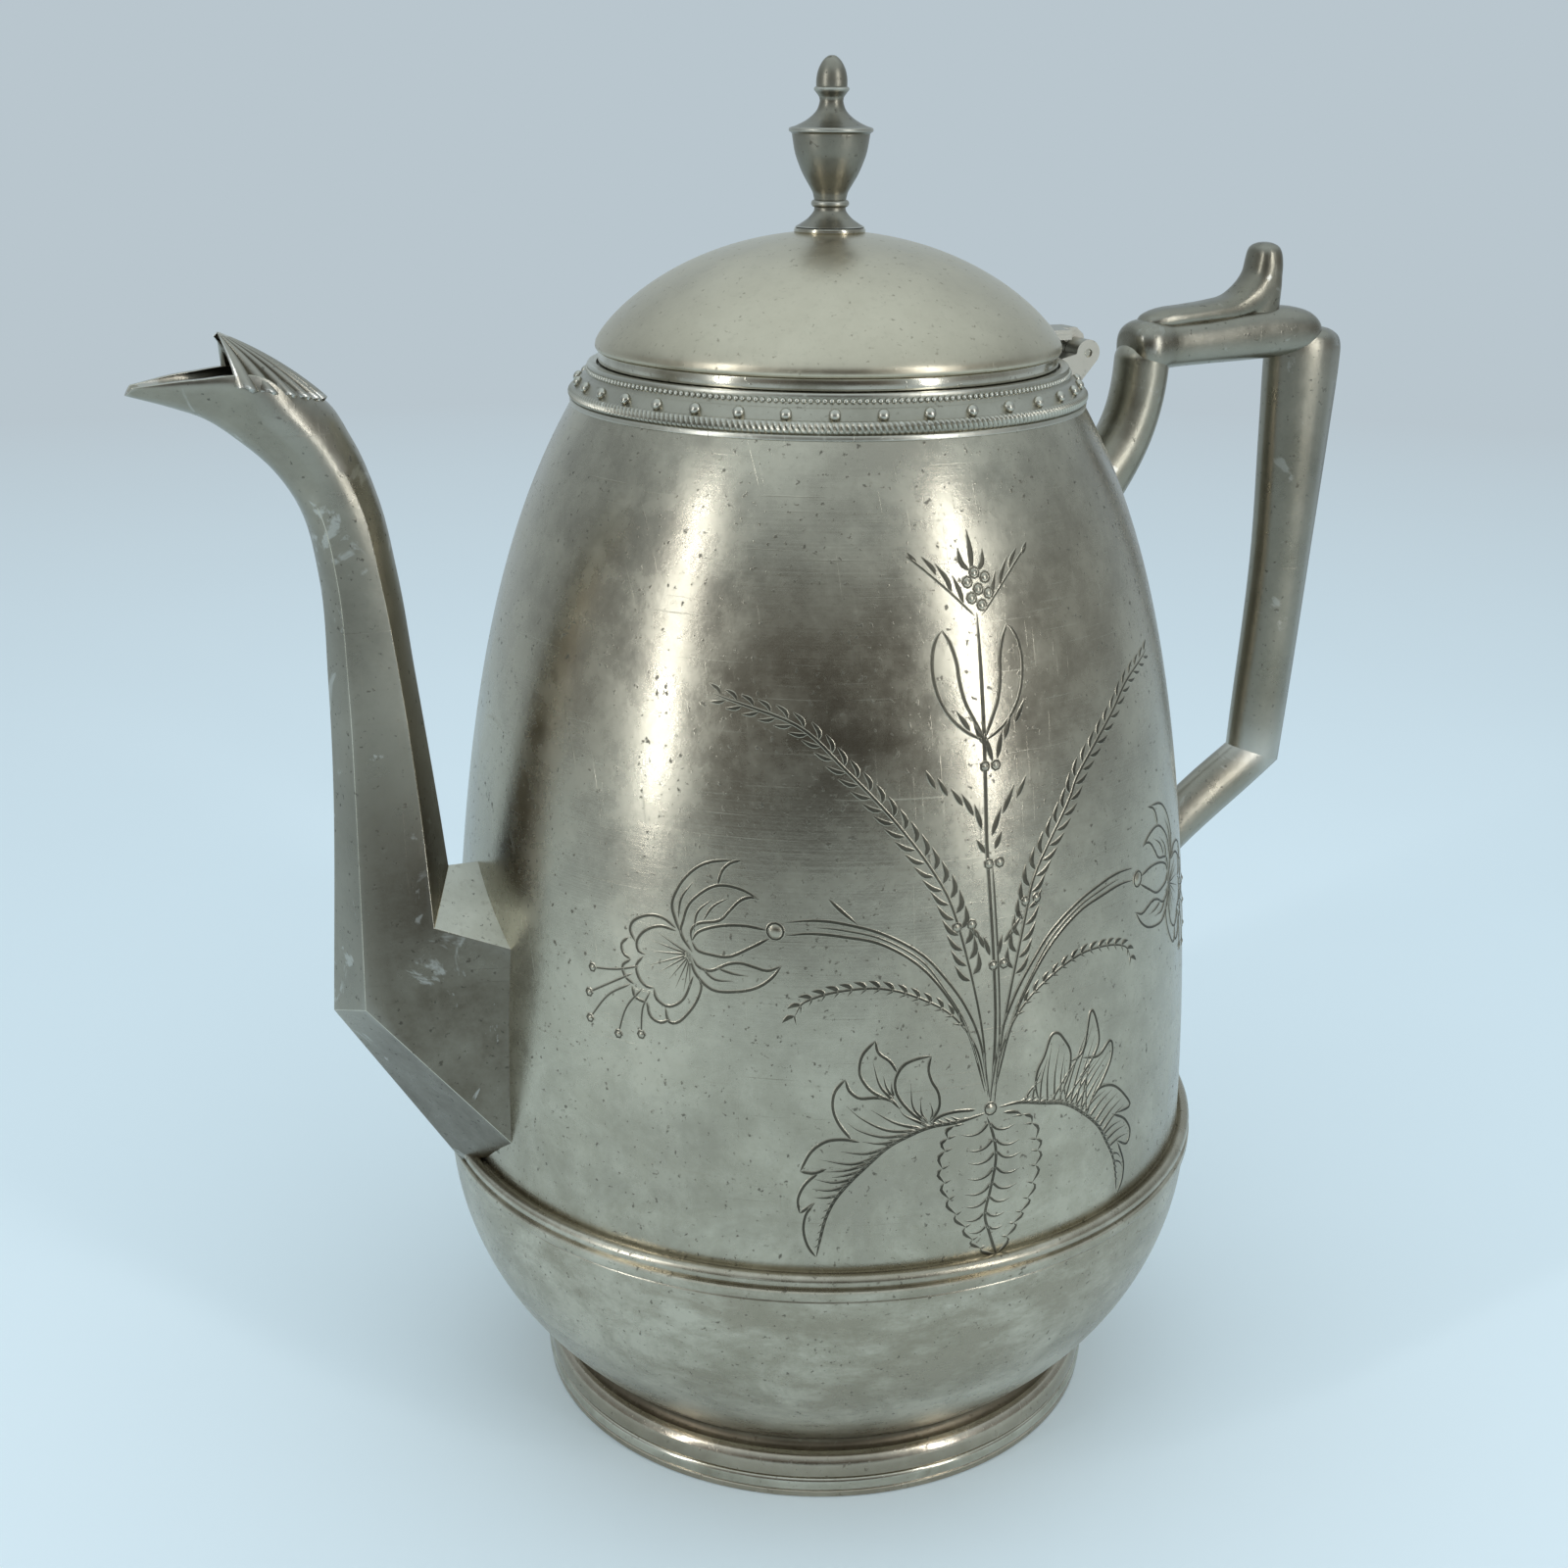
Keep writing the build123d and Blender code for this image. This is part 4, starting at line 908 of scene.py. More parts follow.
class Engraver:
    """Lays cut lines on the body's skin: each is a dark strip between two thin raised edges, the dark partly
    tarnish in the cut and partly painted shade of the cut.
    """

    def __init__(self):
        self.builder = bmesh.new()

    def on_body(self, across, height, lift):
        radius = body_radius(height)
        angle = SPRAY_ANGLE + across / radius
        return self.builder.verts.new(turned(radius + SKIN + lift, angle, height))

    def cut(self, points, width=0.5, profile=line_profile, closed=False):
        spots = [Vector(point) for point in (flowing(points, 6) if len(points) > 2 else points)]
        lengths = [0.0]
        for first, second in zip(spots, spots[1:]):
            lengths.append(lengths[-1] + (second - first).length)
        whole = lengths[-1]
        count = max(5, int(whole / CUT_STEP))
        wanted = np.linspace(0, whole, count + 1)
        us = np.interp(wanted, lengths, [spot.x for spot in spots])
        zs = np.interp(wanted, lengths, [spot.y for spot in spots])
        rows = []
        for k in range(count + 1):
            before, after = max(k - 1, 0), min(k + 1, count)
            along = Vector((us[after] - us[before], zs[after] - zs[before]))
            along = along.normalized() if along.length > 0 else Vector((0, 1))
            aside = Vector((-along.y, along.x))
            share = 1.0 if closed else profile(k / count)
            half = 0.5 * width * share
            rise = BURR_HEIGHT * min(1.0, 0.25 + share)
            edge = half + BURR_WIDTH
            offsets = [(-edge, EDGE_LIFT), (-half, rise), (0, GROOVE_LIFT), (half, rise), (edge, EDGE_LIFT)]
            rows.append([self.on_body(us[k] + aside.x * off, zs[k] + aside.y * off, lift)
                         for off, lift in offsets])
        for first, second in zip(rows, rows[1:]):
            for side in range(4):
                face = self.builder.faces.new((first[side], second[side], second[side + 1], first[side + 1]))
                # The middle faces take the dark groove finish: tarnish and painted shade.
                face.material_index = 1 if side in (1, 2) else 0

    def ring(self, across, height, radius, width=0.35):
        turns = [(across + radius * cos(t), height + radius * sin(t)) for t in np.linspace(0, 2 * pi, 15)]
        self.cut(turns, width, closed=True)

    def berry(self, across, height, radius=0.95):
        """A punched bead inside a cut ring."""
        self.ring(across, height, radius, 0.32)
        layers = []
        for share, lift in BERRY_LAYERS:
            out = radius * share
            layers.append([self.on_body(across + out * cos(t), height + out * sin(t), lift)
                           for t in np.linspace(0, 2 * pi, BERRY_SIDES, endpoint=False)])
        top = self.on_body(across, height, BERRY_TOP)
        close_rings(self.builder, layers)
        last = layers[-1]
        for k in range(BERRY_SIDES):
            self.builder.faces.new((last[k], last[(k + 1) % BERRY_SIDES], top))

    def finish(self, name, materials):
        mesh = made_mesh(self.builder, name)
        inward = sum(1 for face in mesh.polygons if face.normal.xy.dot(face.center.xy) < 0)
        if inward > len(mesh.polygons) / 2:
            mesh.flip_normals()
        link(name, mesh, [materials["burr"], materials["groove"]], "pot", smooth=180)


def mirrored(points):
    return [(-across, height) for across, height in points]


def even_spots(points, spacing):
    """Evenly spaced places along a smooth line, each with the direction of the line there."""
    spots = [Vector(point) for point in flowing(points, 8)]
    places, carried = [], 0.0
    for first, second in zip(spots, spots[1:]):
        step = second - first
        while carried <= step.length and step.length > 0:
            places.append((first + step * (carried / step.length), step.normalized()))
            carried += spacing
        carried -= step.length
    return places


STEM = [(0, 95.5), (1, 110), (0.8, 123.5), (0, 142.5), (0, 151.5), (0.5, 168.5), (1, 186.5)]
TOP_LEAVES = [[(1, 193.5), (1.2, 197), (1, 200.5)], [(0.5, 193.5), (-0.9, 195), (-1.2, 197.5)],
              [(2, 193.5), (3.2, 194.6), (3.6, 197)]]
TOP_BERRIES = [(1.4, 193.2), (3.4, 192.3), (-0.2, 191.7), (1.8, 190.4), (3.8, 189.6), (0.3, 189.0),
               (2.2, 187.7)]
TOP_ARMS = [[(-1.4, 188.2), (-2.9, 193.0)], [(-3.5, 190.0), (-5.9, 195.2)], [(-6.0, 193.2), (-8.2, 196.4)],
            [(-9.2, 195.2), (-10.7, 197.2)]]
LOOP = [(0.3, 164.5), (-3, 166.4), (-5.6, 168.8), (-7.4, 171.8), (-8.3, 175), (-8.5, 178), (-8, 181),
        (-7, 183),
        (-6, 184)]
LOOP_INSIDE = [(-6, 184), (-4.8, 181.8), (-3.9, 178.5), (-3.6, 175), (-2.8, 171.4), (-1.2, 168), (0.3, 165)]
LOOP_SPRIGS = [[(-2.3, 166.5), (-4.6, 170.1)], [(0.1, 163.9), (-1.5, 168.1)], [(1.8, 160.7), (0.5, 165.8)]]
PAIRS = [(1.4, 160.0), (1.4, 142.5), (1.9, 123.5)]
SPRIGS_LEFT = [[(-9.5, 157), (-11.2, 160.4)], [(-7.3, 155.5), (-9, 158.8)], [(-4.5, 153.5), (-6.6, 156.8)],
               [(-2.5, 151.5), (-4.6, 155.7)], [(-1, 149), (-2.2, 153.6)], [(-0.5, 144.5), (-2.1, 147.2)],
               [(-2, 129), (-3.7, 131.4)], [(-1, 127), (-2.6, 130.2)], [(0, 125.5), (-1.2, 129.2)]]
SPRIGS_RIGHT = [[(6.4, 153.6), (8.7, 157.2)], [(3.4, 151.2), (6.1, 156.2)], [(1, 147.5), (3.2, 152.6)],
                [(1.5, 145), (3.1, 148.2)], [(3, 127.5), (7, 132)], [(1.5, 125), (2.7, 129)]]
LEFT_FROND = [(-48, 173), (-33.5, 168.5), (-25.5, 161), (-17.5, 152), (-10.5, 142), (-6.5, 133),
              (-2, 113.5), (-0.4, 98)]
RIGHT_FROND = [(50, 172), (39, 169), (32.5, 164.5), (26.5, 160), (21, 155), (18.5, 151), (10.5, 140),
               (7.5, 131),
               (3, 112.5), (0.8, 98)]
FLOWER_STEM = [(-37.5, 133.6), (-32.5, 134.1), (-27.5, 133.6), (-20.5, 131.6), (-13.5, 127.5), (-9, 122.5),
               (-5, 116.5), (-2, 109), (0, 97.5)]
FLOWER_STEM_LOW = [(-37.5, 131.2), (-33, 131.7), (-27.5, 131.2), (-20.5, 129.6), (-13.5, 125), (-8, 118),
                   (-4, 110),
                   (-1, 99)]
STEM_THORN = [(-29.6, 138), (-27.4, 135.8), (-24.5, 133.2)]
OVARY = [[(-55, 128.5), (-53.5, 130.5), (-49.5, 132), (-45, 132.5), (-41, 132)],
         [(-55, 128.5), (-54, 127), (-51.5, 126.5), (-48, 126.5), (-44, 128.5), (-40.5, 130.5)]]
SEPALS = [
    [(-55, 126.5), (-57, 129.5), (-56.5, 132), (-55, 135.5), (-51.5, 138.5), (-48.5, 139.5), (-45, 139),
     (-42, 137.5)],
    [(-55, 128.5), (-55, 130.5), (-53.5, 132), (-49.5, 133), (-47.5, 135), (-45.5, 137), (-43.5, 137.8),
     (-42, 137.5)],
    [(-57, 129.5), (-58, 132), (-58.5, 135), (-56.5, 139), (-53.5, 142), (-50.5, 143.5), (-46.5, 144.2)],
    [(-49.5, 139.5), (-48.6, 142), (-47, 143.6), (-45, 144.3)],
    [(-55, 125.5), (-54, 124), (-51.5, 123.5), (-48.5, 125), (-46, 125.5), (-43.5, 125), (-41, 124.5),
     (-38.5, 125.5)],
    [(-55.5, 125.5), (-54.5, 122.5), (-51.5, 120), (-47.5, 120), (-43.5, 121), (-40.5, 123), (-38.5, 125.5)],
]
SEPAL_SHADING = [
    [(-54.5, 130.2), (-53.6, 134), (-50.5, 136.8)], [(-52.6, 132.6), (-50.6, 135.4), (-47.4, 137.4)],
    [(-53.6, 124.2), (-51, 122), (-47.4, 122)], [(-50.6, 124.2), (-47.4, 123.4), (-44.6, 123.2)],
    [(-57.4, 132.4), (-56.6, 136.2), (-54, 139.6)],
]
COROLLA = [
    [(-58, 130.5), (-60.5, 132), (-63.5, 132), (-66.5, 130.5), (-67.5, 128.5), (-66.5, 126.5)],
    [(-58, 130), (-61, 130.4), (-64, 129.2), (-66, 127), (-66, 125), (-64.5, 124.5)],
    [(-68, 127), (-69.5, 125.5), (-69.2, 123.8), (-67.6, 123)],
    [(-67.6, 123), (-69.5, 121.4), (-69, 119.5), (-67.2, 118.4)],
    [(-65, 124), (-66.5, 122), (-66, 119.7), (-64.5, 118.5), (-63, 118.5)],
    [(-67.6, 118), (-67, 116), (-64.5, 115.3)],
    [(-64.5, 115.5), (-64, 113), (-61.9, 112.1), (-60, 113)],
    [(-63, 118.5), (-62.5, 116.5), (-60, 115.5), (-57, 117.5), (-55, 122)],
    [(-60.8, 115.2), (-60.2, 112.6), (-58, 113), (-55, 116.5), (-53.5, 120), (-54, 121.8)],
]
THROAT_CENTRE = (-55.4, 126)
THROAT_RAYS = [(-61.5, 129), (-62.5, 127.3), (-62.8, 125.4), (-63.6, 122.7), (-61.6, 121.8), (-59.8, 120.7),
               (-58.6, 119.2), (-57, 118.8), (-55.8, 119.6)]
STAMENS = [[(-76.5, 119.5), (-71, 120.4), (-66, 122)], [(-77.5, 114.5), (-71, 118.3), (-67.5, 120.3)],
           [(-77.5, 109.5), (-73, 115), (-68, 118.2)], [(-71, 108), (-69, 113.5), (-65.5, 117.8)],
           [(-66, 109), (-65.5, 114), (-63.8, 117.6)]]
BEAD_SPRIG = [(-36.5, 116.2), (-34.5, 119), (-28.5, 121), (-21, 121.4), (-14, 119.2), (-7.5, 115),
              (-3, 108.5), (-0.8, 100)]
LEAF_RIB = [(-1, 94.8), (-6, 94.1), (-11.8, 93.8), (-16.6, 92.2), (-20, 90.4), (-23.2, 87.5), (-26.5, 84.2),
            (-29.3, 80.7), (-31, 77.3), (-32, 73.7), (-33, 68.3)]
LEAF_UPPER_RIB = [(-2.9, 95.9), (-7, 96.2), (-10, 95.7), (-11.8, 94.4)]
LEAF_LOBES = [
    [(-12.5, 94.6), (-15, 96.6), (-17.3, 99.3), (-18.4, 101.8), (-18.3, 104.2), (-16.8, 106.5),
     (-14.4, 107.5),
     (-11.6, 107.8)],
    [(-11.6, 107.8), (-12.2, 105.4), (-11.6, 102.9), (-10.3, 100.4), (-10.2, 97.4), (-12, 94.7)],
    [(-18.9, 99.4), (-22.7, 101.7), (-24.6, 104.2), (-25, 106.3), (-24.3, 109), (-22, 111.5)],
    [(-22, 111.5), (-21.5, 109.2), (-19.4, 107.4), (-18.1, 105.2)],
    [(-26.5, 92.3), (-28.8, 95.4), (-29.9, 98.6), (-29.5, 101.8), (-27.6, 104.2)],
    [(-27.6, 104.2), (-26.9, 102), (-25, 100.5), (-22.2, 100.5), (-19.4, 99.9), (-17.6, 98)],
    [(-25, 91.8), (-28, 92.4), (-31.2, 92), (-34, 89.8), (-36, 85.9)],
    [(-36, 85.9), (-33.5, 85.6), (-31.2, 86.5)],
    [(-32.6, 85.7), (-35, 83.4), (-36.4, 80.3), (-36.1, 77.3)],
    [(-36.1, 77.3), (-35, 78.2), (-33.3, 79.5)],
    [(-33.5, 79.3), (-35, 77), (-35.4, 73.8), (-34.6, 70.6), (-33.1, 68.3)],
]
LEAF_VEINS = [
    [(-12.4, 94.7), (-15.1, 98), (-15.5, 102.7)], [(-12.3, 94.7), (-13.5, 96.7), (-13.7, 99.4)],
    [(-11.9, 94.9), (-11.4, 96.7), (-11.8, 98.4)], [(-18.9, 99.9), (-21.3, 102.8), (-22.5, 107.5)],
    [(-18.8, 100.2), (-20.1, 102.4), (-20.6, 104.6)], [(-18.7, 100.7), (-19.1, 102), (-19.1, 103.3)],
    [(-12.5, 94.2), (-16.6, 96.5), (-17.7, 98)], [(-13.7, 93.7), (-18.4, 95.2), (-22.9, 98.1)],
    [(-14.7, 93.3), (-20, 93.9), (-24.6, 96.4), (-27.4, 99)],
    [(-16.1, 92.7), (-20.8, 92.6), (-25, 94), (-27.2, 95.6)], [(-17.5, 91.8), (-21.3, 91.3), (-24.6, 91.9)],
    [(-20, 90.4), (-24.1, 89.4), (-28.6, 90)], [(-21.7, 88.8), (-26.5, 87.4), (-32.4, 88.4)],
    [(-23.2, 87.5), (-27.4, 86.2), (-31.7, 85.9)], [(-24.6, 86), (-27.9, 85.1), (-30.2, 84.8)],
    [(-26, 84.5), (-29.8, 83.7), (-33.3, 84.4)], [(-27.4, 83), (-30.7, 82.1), (-33.8, 82.4)],
    [(-28.8, 81.2), (-31.4, 80.6), (-33.5, 80.7)],
]
RIGHT_RIB = [(2, 95.5), (6.5, 95.5), (12, 94), (17, 92.5), (21.5, 89.5), (26.5, 85), (29.5, 80.5),
             (32.5, 75), (34, 68)]
RIGHT_LOBES = [
    [(11, 94.5), (10, 98), (10.5, 101), (12, 103.5), (13.5, 107), (15, 107.4), (16.5, 106),
     (18.5, 102.5), (18, 98),
     (16, 94)],
    [(18.5, 100.5), (22, 102), (24, 109.5), (26.3, 104), (25.5, 100.5), (21, 96.4)],
    [(22, 100.4), (26.5, 99.5), (30, 101.5), (30.5, 98), (27.5, 93.5), (24, 90.4)],
    [(24.5, 91.5), (27.5, 92.6), (31.5, 91.5), (35.5, 88), (37.5, 85), (33, 85.2)],
    [(31.4, 85.5), (35.5, 83), (38, 79.5), (37, 77), (33.4, 79)],
    [(33.6, 78.5), (36, 73.5), (36, 69.5), (34.4, 67)],
]
MIDDLE_RIB = [(-0.5, 94), (1, 89.5), (1.5, 85), (0.5, 79), (-0.5, 74), (0.5, 70), (2.5, 64)]
MIDDLE_EDGE_RIGHT = [(3, 94.2), (7.4, 92.8), (9.5, 90.5), (10.5, 87), (11, 84.5), (10.5, 81.5), (10, 78),
                     (9, 75),
                     (7.5, 72.5), (6, 70.5), (4.5, 68), (2.5, 64.6)]
MIDDLE_EDGE_LEFT = [(-4, 94.4), (-7.2, 93.4), (-8.5, 91), (-9, 88.5), (-9.5, 85), (-9, 82), (-8, 78.5),
                    (-6.5, 75),
                    (-4.5, 72), (-3, 69), (-1.2, 66.8), (2.4, 64.4)]


def engrave_frond(knife, spine, inner):
    """A feathered spray: dark drops on its inner side and thin hooks on the outer."""
    knife.cut(spine, 0.42)
    places = even_spots(spine[::-1], 3.05)
    last = len(places)
    for number, (spot, along) in enumerate(places):
        if spot.y < FROND_FOOT:
            continue
        share = number / last
        size = min(1.0, 1.25 - 0.65 * share)
        aside = Vector((along.y, -along.x)) * inner
        knife.cut([spot + along * 0.2 + aside * 0.4, spot + along * 1.3 * size + aside * 1.9 * size,
                   spot + along * 4.0 * size + aside * 2.4 * size], 0.95 * size, leaf_profile)
        knife.cut([spot - along * 0.8 - aside * 0.4, spot + along * 0.5 * size - aside * 1.8 * size,
                   spot + along * 3.0 * size - aside * 2.6 * size], 0.85 * size, leaf_profile)


def engrave_hatching(knife, rib, side, spacing=1.55):
    """Short dark strokes that leave the leaf's rib on its outer side, smaller towards the tip."""
    places = even_spots(rib, spacing)
    for number, (spot, along) in enumerate(places[3:-1]):
        share = 1 - 0.55 * number / len(places)
        aside = Vector((along.y, -along.x)) * side
        knife.cut([spot, spot + along * 0.9 * share + aside * 0.45 * share, spot + along * 2.1 * share
                   + aside * 1.35 * share], 0.5 * share + 0.1, tail_profile)


def engrave_lobes(knife, lobes, rib):
    """Lobe outlines with long veins that start dark at the rib and fade towards the lobe's edge."""
    spots = [Vector(point) for point in flowing(rib, 6)]
    for lobe in lobes:
        knife.cut(lobe, 0.5)
        middle = sum((Vector(point) for point in lobe), Vector((0, 0))) / len(lobe)
        near = min(range(len(spots)), key=lambda k: (spots[k] - middle).length)
        for k, (spot, _) in enumerate(even_spots(lobe, 3.4)[1:-1]):
            root = spots[max(0, near - 5 + 2 * k)]
            end = spot.lerp(middle, 0.3)
            bowed = root.lerp(end, 0.5) + (end - root).orthogonal().normalized() * 0.5
            knife.cut([root, bowed, end], 0.5, tail_profile)


def engrave_middle_leaf(knife, edge, side):
    """One side of the toothed leaf: a scallop between each pair of points, and hanging veins."""
    rib = [Vector(point) for point in flowing(MIDDLE_RIB, 8)]
    for first, second in zip(edge, edge[1:]):
        first, second = Vector(first), Vector(second)
        out = Vector((side, 0.1))
        knife.cut([first, first.lerp(second, 0.4) + out, second - out * 0.15], 0.62, leaf_profile)
        knife.cut([second - out * 0.1, second.lerp(first, 0.2) - out * 1.5], 0.36, tail_profile)
    for height in np.linspace(92.6, 71.4, 8):
        root = min(rib, key=lambda spot: abs(spot.y - height))
        size = min(1.0, 0.35 + (height - 64) / 26)
        steps = [(0, 0), (1.6, -1.6), (3.6, -2.1), (5.6, -1.6)]
        knife.cut([root + Vector((side * across, drop)) * size for across, drop in steps], 0.55, tail_profile)


def engrave_flower(knife, flip, drop=0.0):
    """A hanging trumpet flower with long stamens, the same on each side of the spray."""
    def placed(points):
        return [(-across, height - drop) if flip else (across, height) for across, height in points]

    for stroke in OVARY + SEPALS + COROLLA:
        knife.cut(placed(stroke), 0.46)
    for stroke in SEPAL_SHADING:
        knife.cut(placed(stroke), 0.4, leaf_profile)
    for end in THROAT_RAYS:
        knife.cut(placed([THROAT_CENTRE, end]), 0.32, tail_profile)
    for stroke in STAMENS:
        knife.cut(placed(stroke[::-1]), 0.32)
        dot = placed([stroke[0]])[0]
        knife.berry(*dot, 0.75)
    knot = placed([(-39.4, 131.9)])[0]
    knife.berry(*knot, 1.5)


def make_engraving(materials):
    knife = Engraver()
    knife.cut(STEM, 0.55)
    knife.cut([(across + 0.9, height) for across, height in STEM[:4]], 0.35)
    for leaf in TOP_LEAVES:
        knife.cut(leaf, 0.9, leaf_profile)
    for spot in TOP_BERRIES:
        knife.berry(*spot, 0.92)
    for arm in TOP_ARMS:
        bowed = [(arm[0][0] - 0.5, (arm[0][1] + arm[1][1]) / 2 - 0.3)]
        stroke = [arm[0], *bowed, arm[1]]
        knife.cut(stroke, 0.75, leaf_profile)
        knife.cut([(2.8 - across, height) for across, height in stroke], 0.75, leaf_profile)
    knife.cut([(0.5, 186), (-4, 190.5), (-8.4, 194.5), (-11, 196.6)], 0.3)
    knife.cut([(2, 186), (6.5, 190.5), (10.8, 194.5), (13.2, 196.4)], 0.3)
    for stroke in (LOOP, LOOP_INSIDE):
        knife.cut(stroke, 0.5)
        knife.cut([(0.9 - across, height) for across, height in stroke], 0.5)
    for sprig in LOOP_SPRIGS + SPRIGS_LEFT + SPRIGS_RIGHT:
        knife.cut(sprig, 0.85, leaf_profile)
    for sprig in LOOP_SPRIGS:
        knife.cut([(4.6 - across, height + 0.4) for across, height in sprig], 0.85, leaf_profile)
    for across, height in PAIRS:
        knife.berry(across - 1.2, height, 0.85)
        knife.berry(across + 1.0, height, 0.85)
    for across, height in ((-6.4, 131.6), (-3.5, 131.8), (7.7, 134.4), (10.2, 134.6)):
        knife.berry(across, height, 0.85)
    engrave_frond(knife, LEFT_FROND, 1)
    engrave_frond(knife, RIGHT_FROND, -1)
    for stem in (FLOWER_STEM, FLOWER_STEM_LOW, mirrored(FLOWER_STEM), mirrored(FLOWER_STEM_LOW)):
        knife.cut(stem, 0.46)
    between = [(a[0], (a[1] + b[1]) / 2) for a, b in zip(FLOWER_STEM, FLOWER_STEM_LOW)]
    knife.cut(between[1:], 0.26)
    knife.cut(mirrored(between[1:]), 0.26)
    knife.cut(STEM_THORN, 0.6, leaf_profile)
    engrave_flower(knife, False)
    engrave_flower(knife, True, 1.0)
    for sprig in (BEAD_SPRIG, mirrored(BEAD_SPRIG)):
        knife.cut(sprig, 0.36)
        for spot, along in even_spots(sprig, 2.5):
            if spot.y > SPRIG_FOOT:
                above = Vector((-along.y, along.x)) if along.x > 0 else Vector((along.y, -along.x))
                hook = [spot, spot + above * 0.8 - along * 0.8, spot + above * 1.2 - along * 2.3]
                knife.cut(hook, 0.75, leaf_profile)
                knife.cut([spot, spot - above * 1.1 - along * 1.2], 0.35, tail_profile)
    knife.cut(LEAF_RIB, 0.6)
    knife.cut(RIGHT_RIB, 0.6)
    knife.cut(LEAF_UPPER_RIB, 0.5)
    for lobe in LEAF_LOBES:
        knife.cut(lobe, 0.5)
    for vein in LEAF_VEINS:
        knife.cut(vein, 0.55, tail_profile)
    engrave_hatching(knife, LEAF_RIB, 1)
    engrave_hatching(knife, RIGHT_RIB, -1)
    engrave_lobes(knife, RIGHT_LOBES, RIGHT_RIB)
    knife.cut(MIDDLE_RIB, 0.6)
    engrave_middle_leaf(knife, MIDDLE_EDGE_RIGHT, 1)
    engrave_middle_leaf(knife, MIDDLE_EDGE_LEFT, -1)
    knife.berry(0.2, 95.6, 1.2)
    knife.finish("engraving", materials)


# Stage: floor, light and the pale surroundings, whose brightness is given by angle round the pot
ROOM = (0.485, 0.565, 0.617)
LIGHT_RAMP = [
    (-180, 0.8), (-172, 1.1), (-163, 1.1), (-156, 0.55), (-142, 0.32), (-126, 0.14), (-104, 0.12),
    (-88, 0.24), (-80, 0.55), (-73, 1.0), (-62, 1.0), (-55, 0.6), (-40, 0.5), (0, 0.7), (25, 1.0),
    (65, 1.2), (90, 1.15), (130, 0.8), (160, 0.55), (174, 0.65), (180, 0.8),
]


def make_world():
    world = bpy.data.worlds.new("pale_room")
    bpy.context.scene.world = world
    world.use_nodes = True
    nodes = Nodes(world.node_tree)
    background = world.node_tree.nodes["Background"]
    towards = nodes.add("TexCoord").outputs["Generated"]
    parts = nodes.add("SeparateXYZ", {"Vector": towards})
    around = nodes.sums("ARCTAN2", parts.outputs["Y"], parts.outputs["X"])
    ramp = nodes.add("ValToRGB", {"Fac": nodes.span(around, -pi, pi)})
    stops = ramp.color_ramp.elements
    brightest = 2.0
    while len(stops) < len(LIGHT_RAMP):
        stops.new(0.5)
    for stop, (azimuth, level) in zip(stops, LIGHT_RAMP):
        stop.position = (azimuth + 180) / 360
        level = level / brightest
        stop.color = (level, level, level, 1)
    side = nodes.times(ramp.outputs["Color"], brightest)
    height = parts.outputs["Z"]
    overhead = nodes.span(height, 0.2, 0.62)
    zenith = nodes.span(height, 0.45, 0.9, 1.0, 1.75)
    level = nodes.plus(nodes.times(side, nodes.sums("SUBTRACT", 1.0, overhead)),
                       nodes.times(overhead, zenith))
    hue = nodes.blend(nodes.span(level, 0.2, 0.8), (0.60, 0.565, 0.50), ROOM)
    lit = nodes.add("VectorMath", operation="SCALE")
    nodes.put(lit.inputs[0], hue)
    nodes.put(lit.inputs["Scale"], level)
    seen = nodes.add("LightPath").outputs["Is Camera Ray"]
    nodes.put(background.inputs["Color"], nodes.blend(seen, lit.outputs[0], ROOM))


# Distances in metres at which the floor starts and ends fading into the room
FLOOR_FADE = (0.35, 1.5)


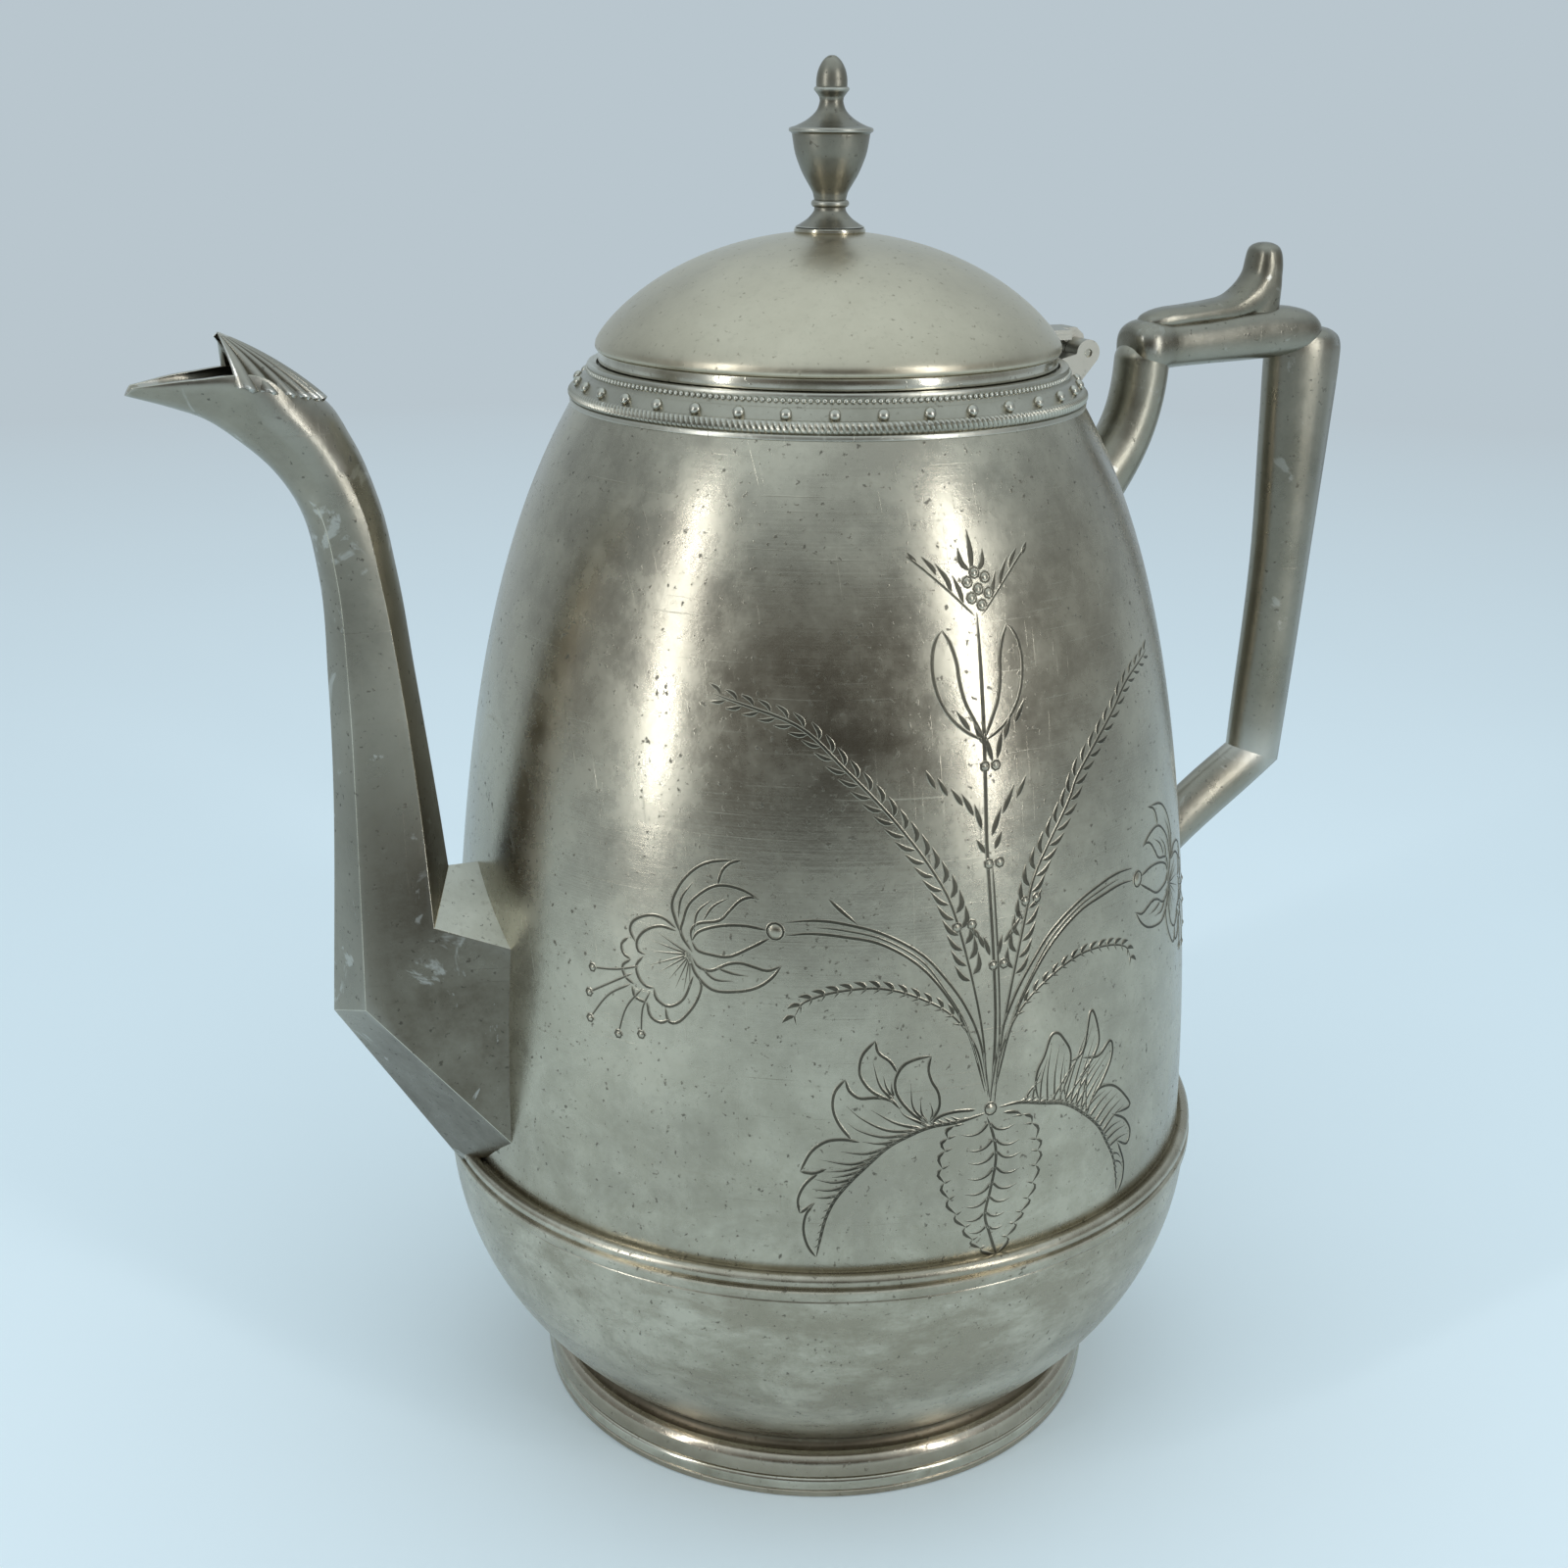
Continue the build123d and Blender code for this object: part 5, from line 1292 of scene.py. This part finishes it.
def make_floor():
    rings, segments, widest = 40, 96, 3.0
    builder = bmesh.new()
    grid = []
    for ring in range(1, rings + 1):
        reach = widest * (ring / rings) ** 2
        turns = [2 * pi * k / segments for k in range(segments)]
        grid.append([builder.verts.new((reach * cos(turn), reach * sin(turn), 0)) for turn in turns])
    builder.faces.new(grid[0])
    for inner, outer in zip(grid, grid[1:]):
        for k in range(segments):
            after = (k + 1) % segments
            builder.faces.new((inner[k], outer[k], outer[after], inner[after]))
    mesh = made_mesh(builder, "floor", settle=False)
    floor = bpy.data.objects.new("floor", mesh)
    bpy.context.scene.collection.objects.link(floor)
    material, nodes, shader = new_material("floor_paper")
    shader.inputs["Roughness"].default_value = 0.9
    shader.inputs["Specular IOR Level"].default_value = 0.1
    cloud = nodes.noise(5, 3)
    nodes.put(shader.inputs["Base Color"], nodes.blend(cloud, (0.82, 0.905, 0.935), (0.85, 0.935, 0.965)))
    where = nodes.add("TexCoord").outputs["Object"]
    away = nodes.add("VectorMath", {0: where}, operation="LENGTH").outputs["Value"]
    glow = nodes.add("Emission", {"Color": (*ROOM, 1), "Strength": 1.0})
    fade = nodes.add("MixShader", {0: nodes.span(away, *FLOOR_FADE)})
    nodes.put(fade.inputs[1], shader.outputs[0])
    nodes.put(fade.inputs[2], glow.outputs[0])
    output = next(node for node in material.node_tree.nodes if node.type == "OUTPUT_MATERIAL")
    nodes.put(output.inputs[0], fade.outputs[0])
    mesh.materials.append(material)


# Height in metres that the lights point at
LIGHT_AIM = 0.12


def area_light(name, azimuth, away, height, size, power, colour):
    data = bpy.data.lights.new(name, "AREA")
    data.shape = "RECTANGLE"
    data.size, data.size_y = size
    data.energy = power
    data.color = colour
    light = bpy.data.objects.new(name, data)
    place = Vector((away * cos(radians(azimuth)), away * sin(radians(azimuth)), height))
    light.location = place
    light.rotation_euler = (Vector((0, 0, LIGHT_AIM)) - place).to_track_quat("-Z", "Y").to_euler()
    bpy.context.scene.collection.objects.link(light)


def make_stage():
    make_world()
    make_floor()
    soft_white = (0.95, 0.97, 1.0)
    area_light("left_strip", -166, 0.9, 0.42, (0.03, 0.7), 1.7, soft_white)
    area_light("right_strip", -66, 0.8, 0.40, (0.07, 0.6), 1.7, soft_white)


def dress_nodes(materials):
    """Carried-over nodes keep their shape and get their finish and soft edges."""
    finishes = {
        "body_shell": "inside", "lid_seat_ring": "inside", "finial_nut": "inside",
        "hinge_lid_leaf": "hinge", "hinge_body_bracket": "hinge", "hinge_pin": "trim",
        "handle_shank": "shank",
    }
    edges = {"hinge_lid_leaf": 0.35, "hinge_body_bracket": 0.35, "hinge_pin": 0.15, "handle_shank": 0.9}
    for name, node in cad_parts.items():
        node.data.materials.clear()
        node.data.materials.append(materials[finishes.get(name, "body")])
        if name in edges:
            soften_edges(node, edges[name], 24)


make_camera()
make_stage()
materials = make_materials()
dress_nodes(materials)
make_body_skin(materials)
make_bowl(materials)
make_foot(materials)
make_collar(materials)
make_collar_beads(materials)
make_lid(materials)
make_finial(materials)
make_spout(materials)
make_crest(materials)
make_handle(materials)
make_engraving(materials)

bpy.context.scene.view_settings.view_transform = "Standard"
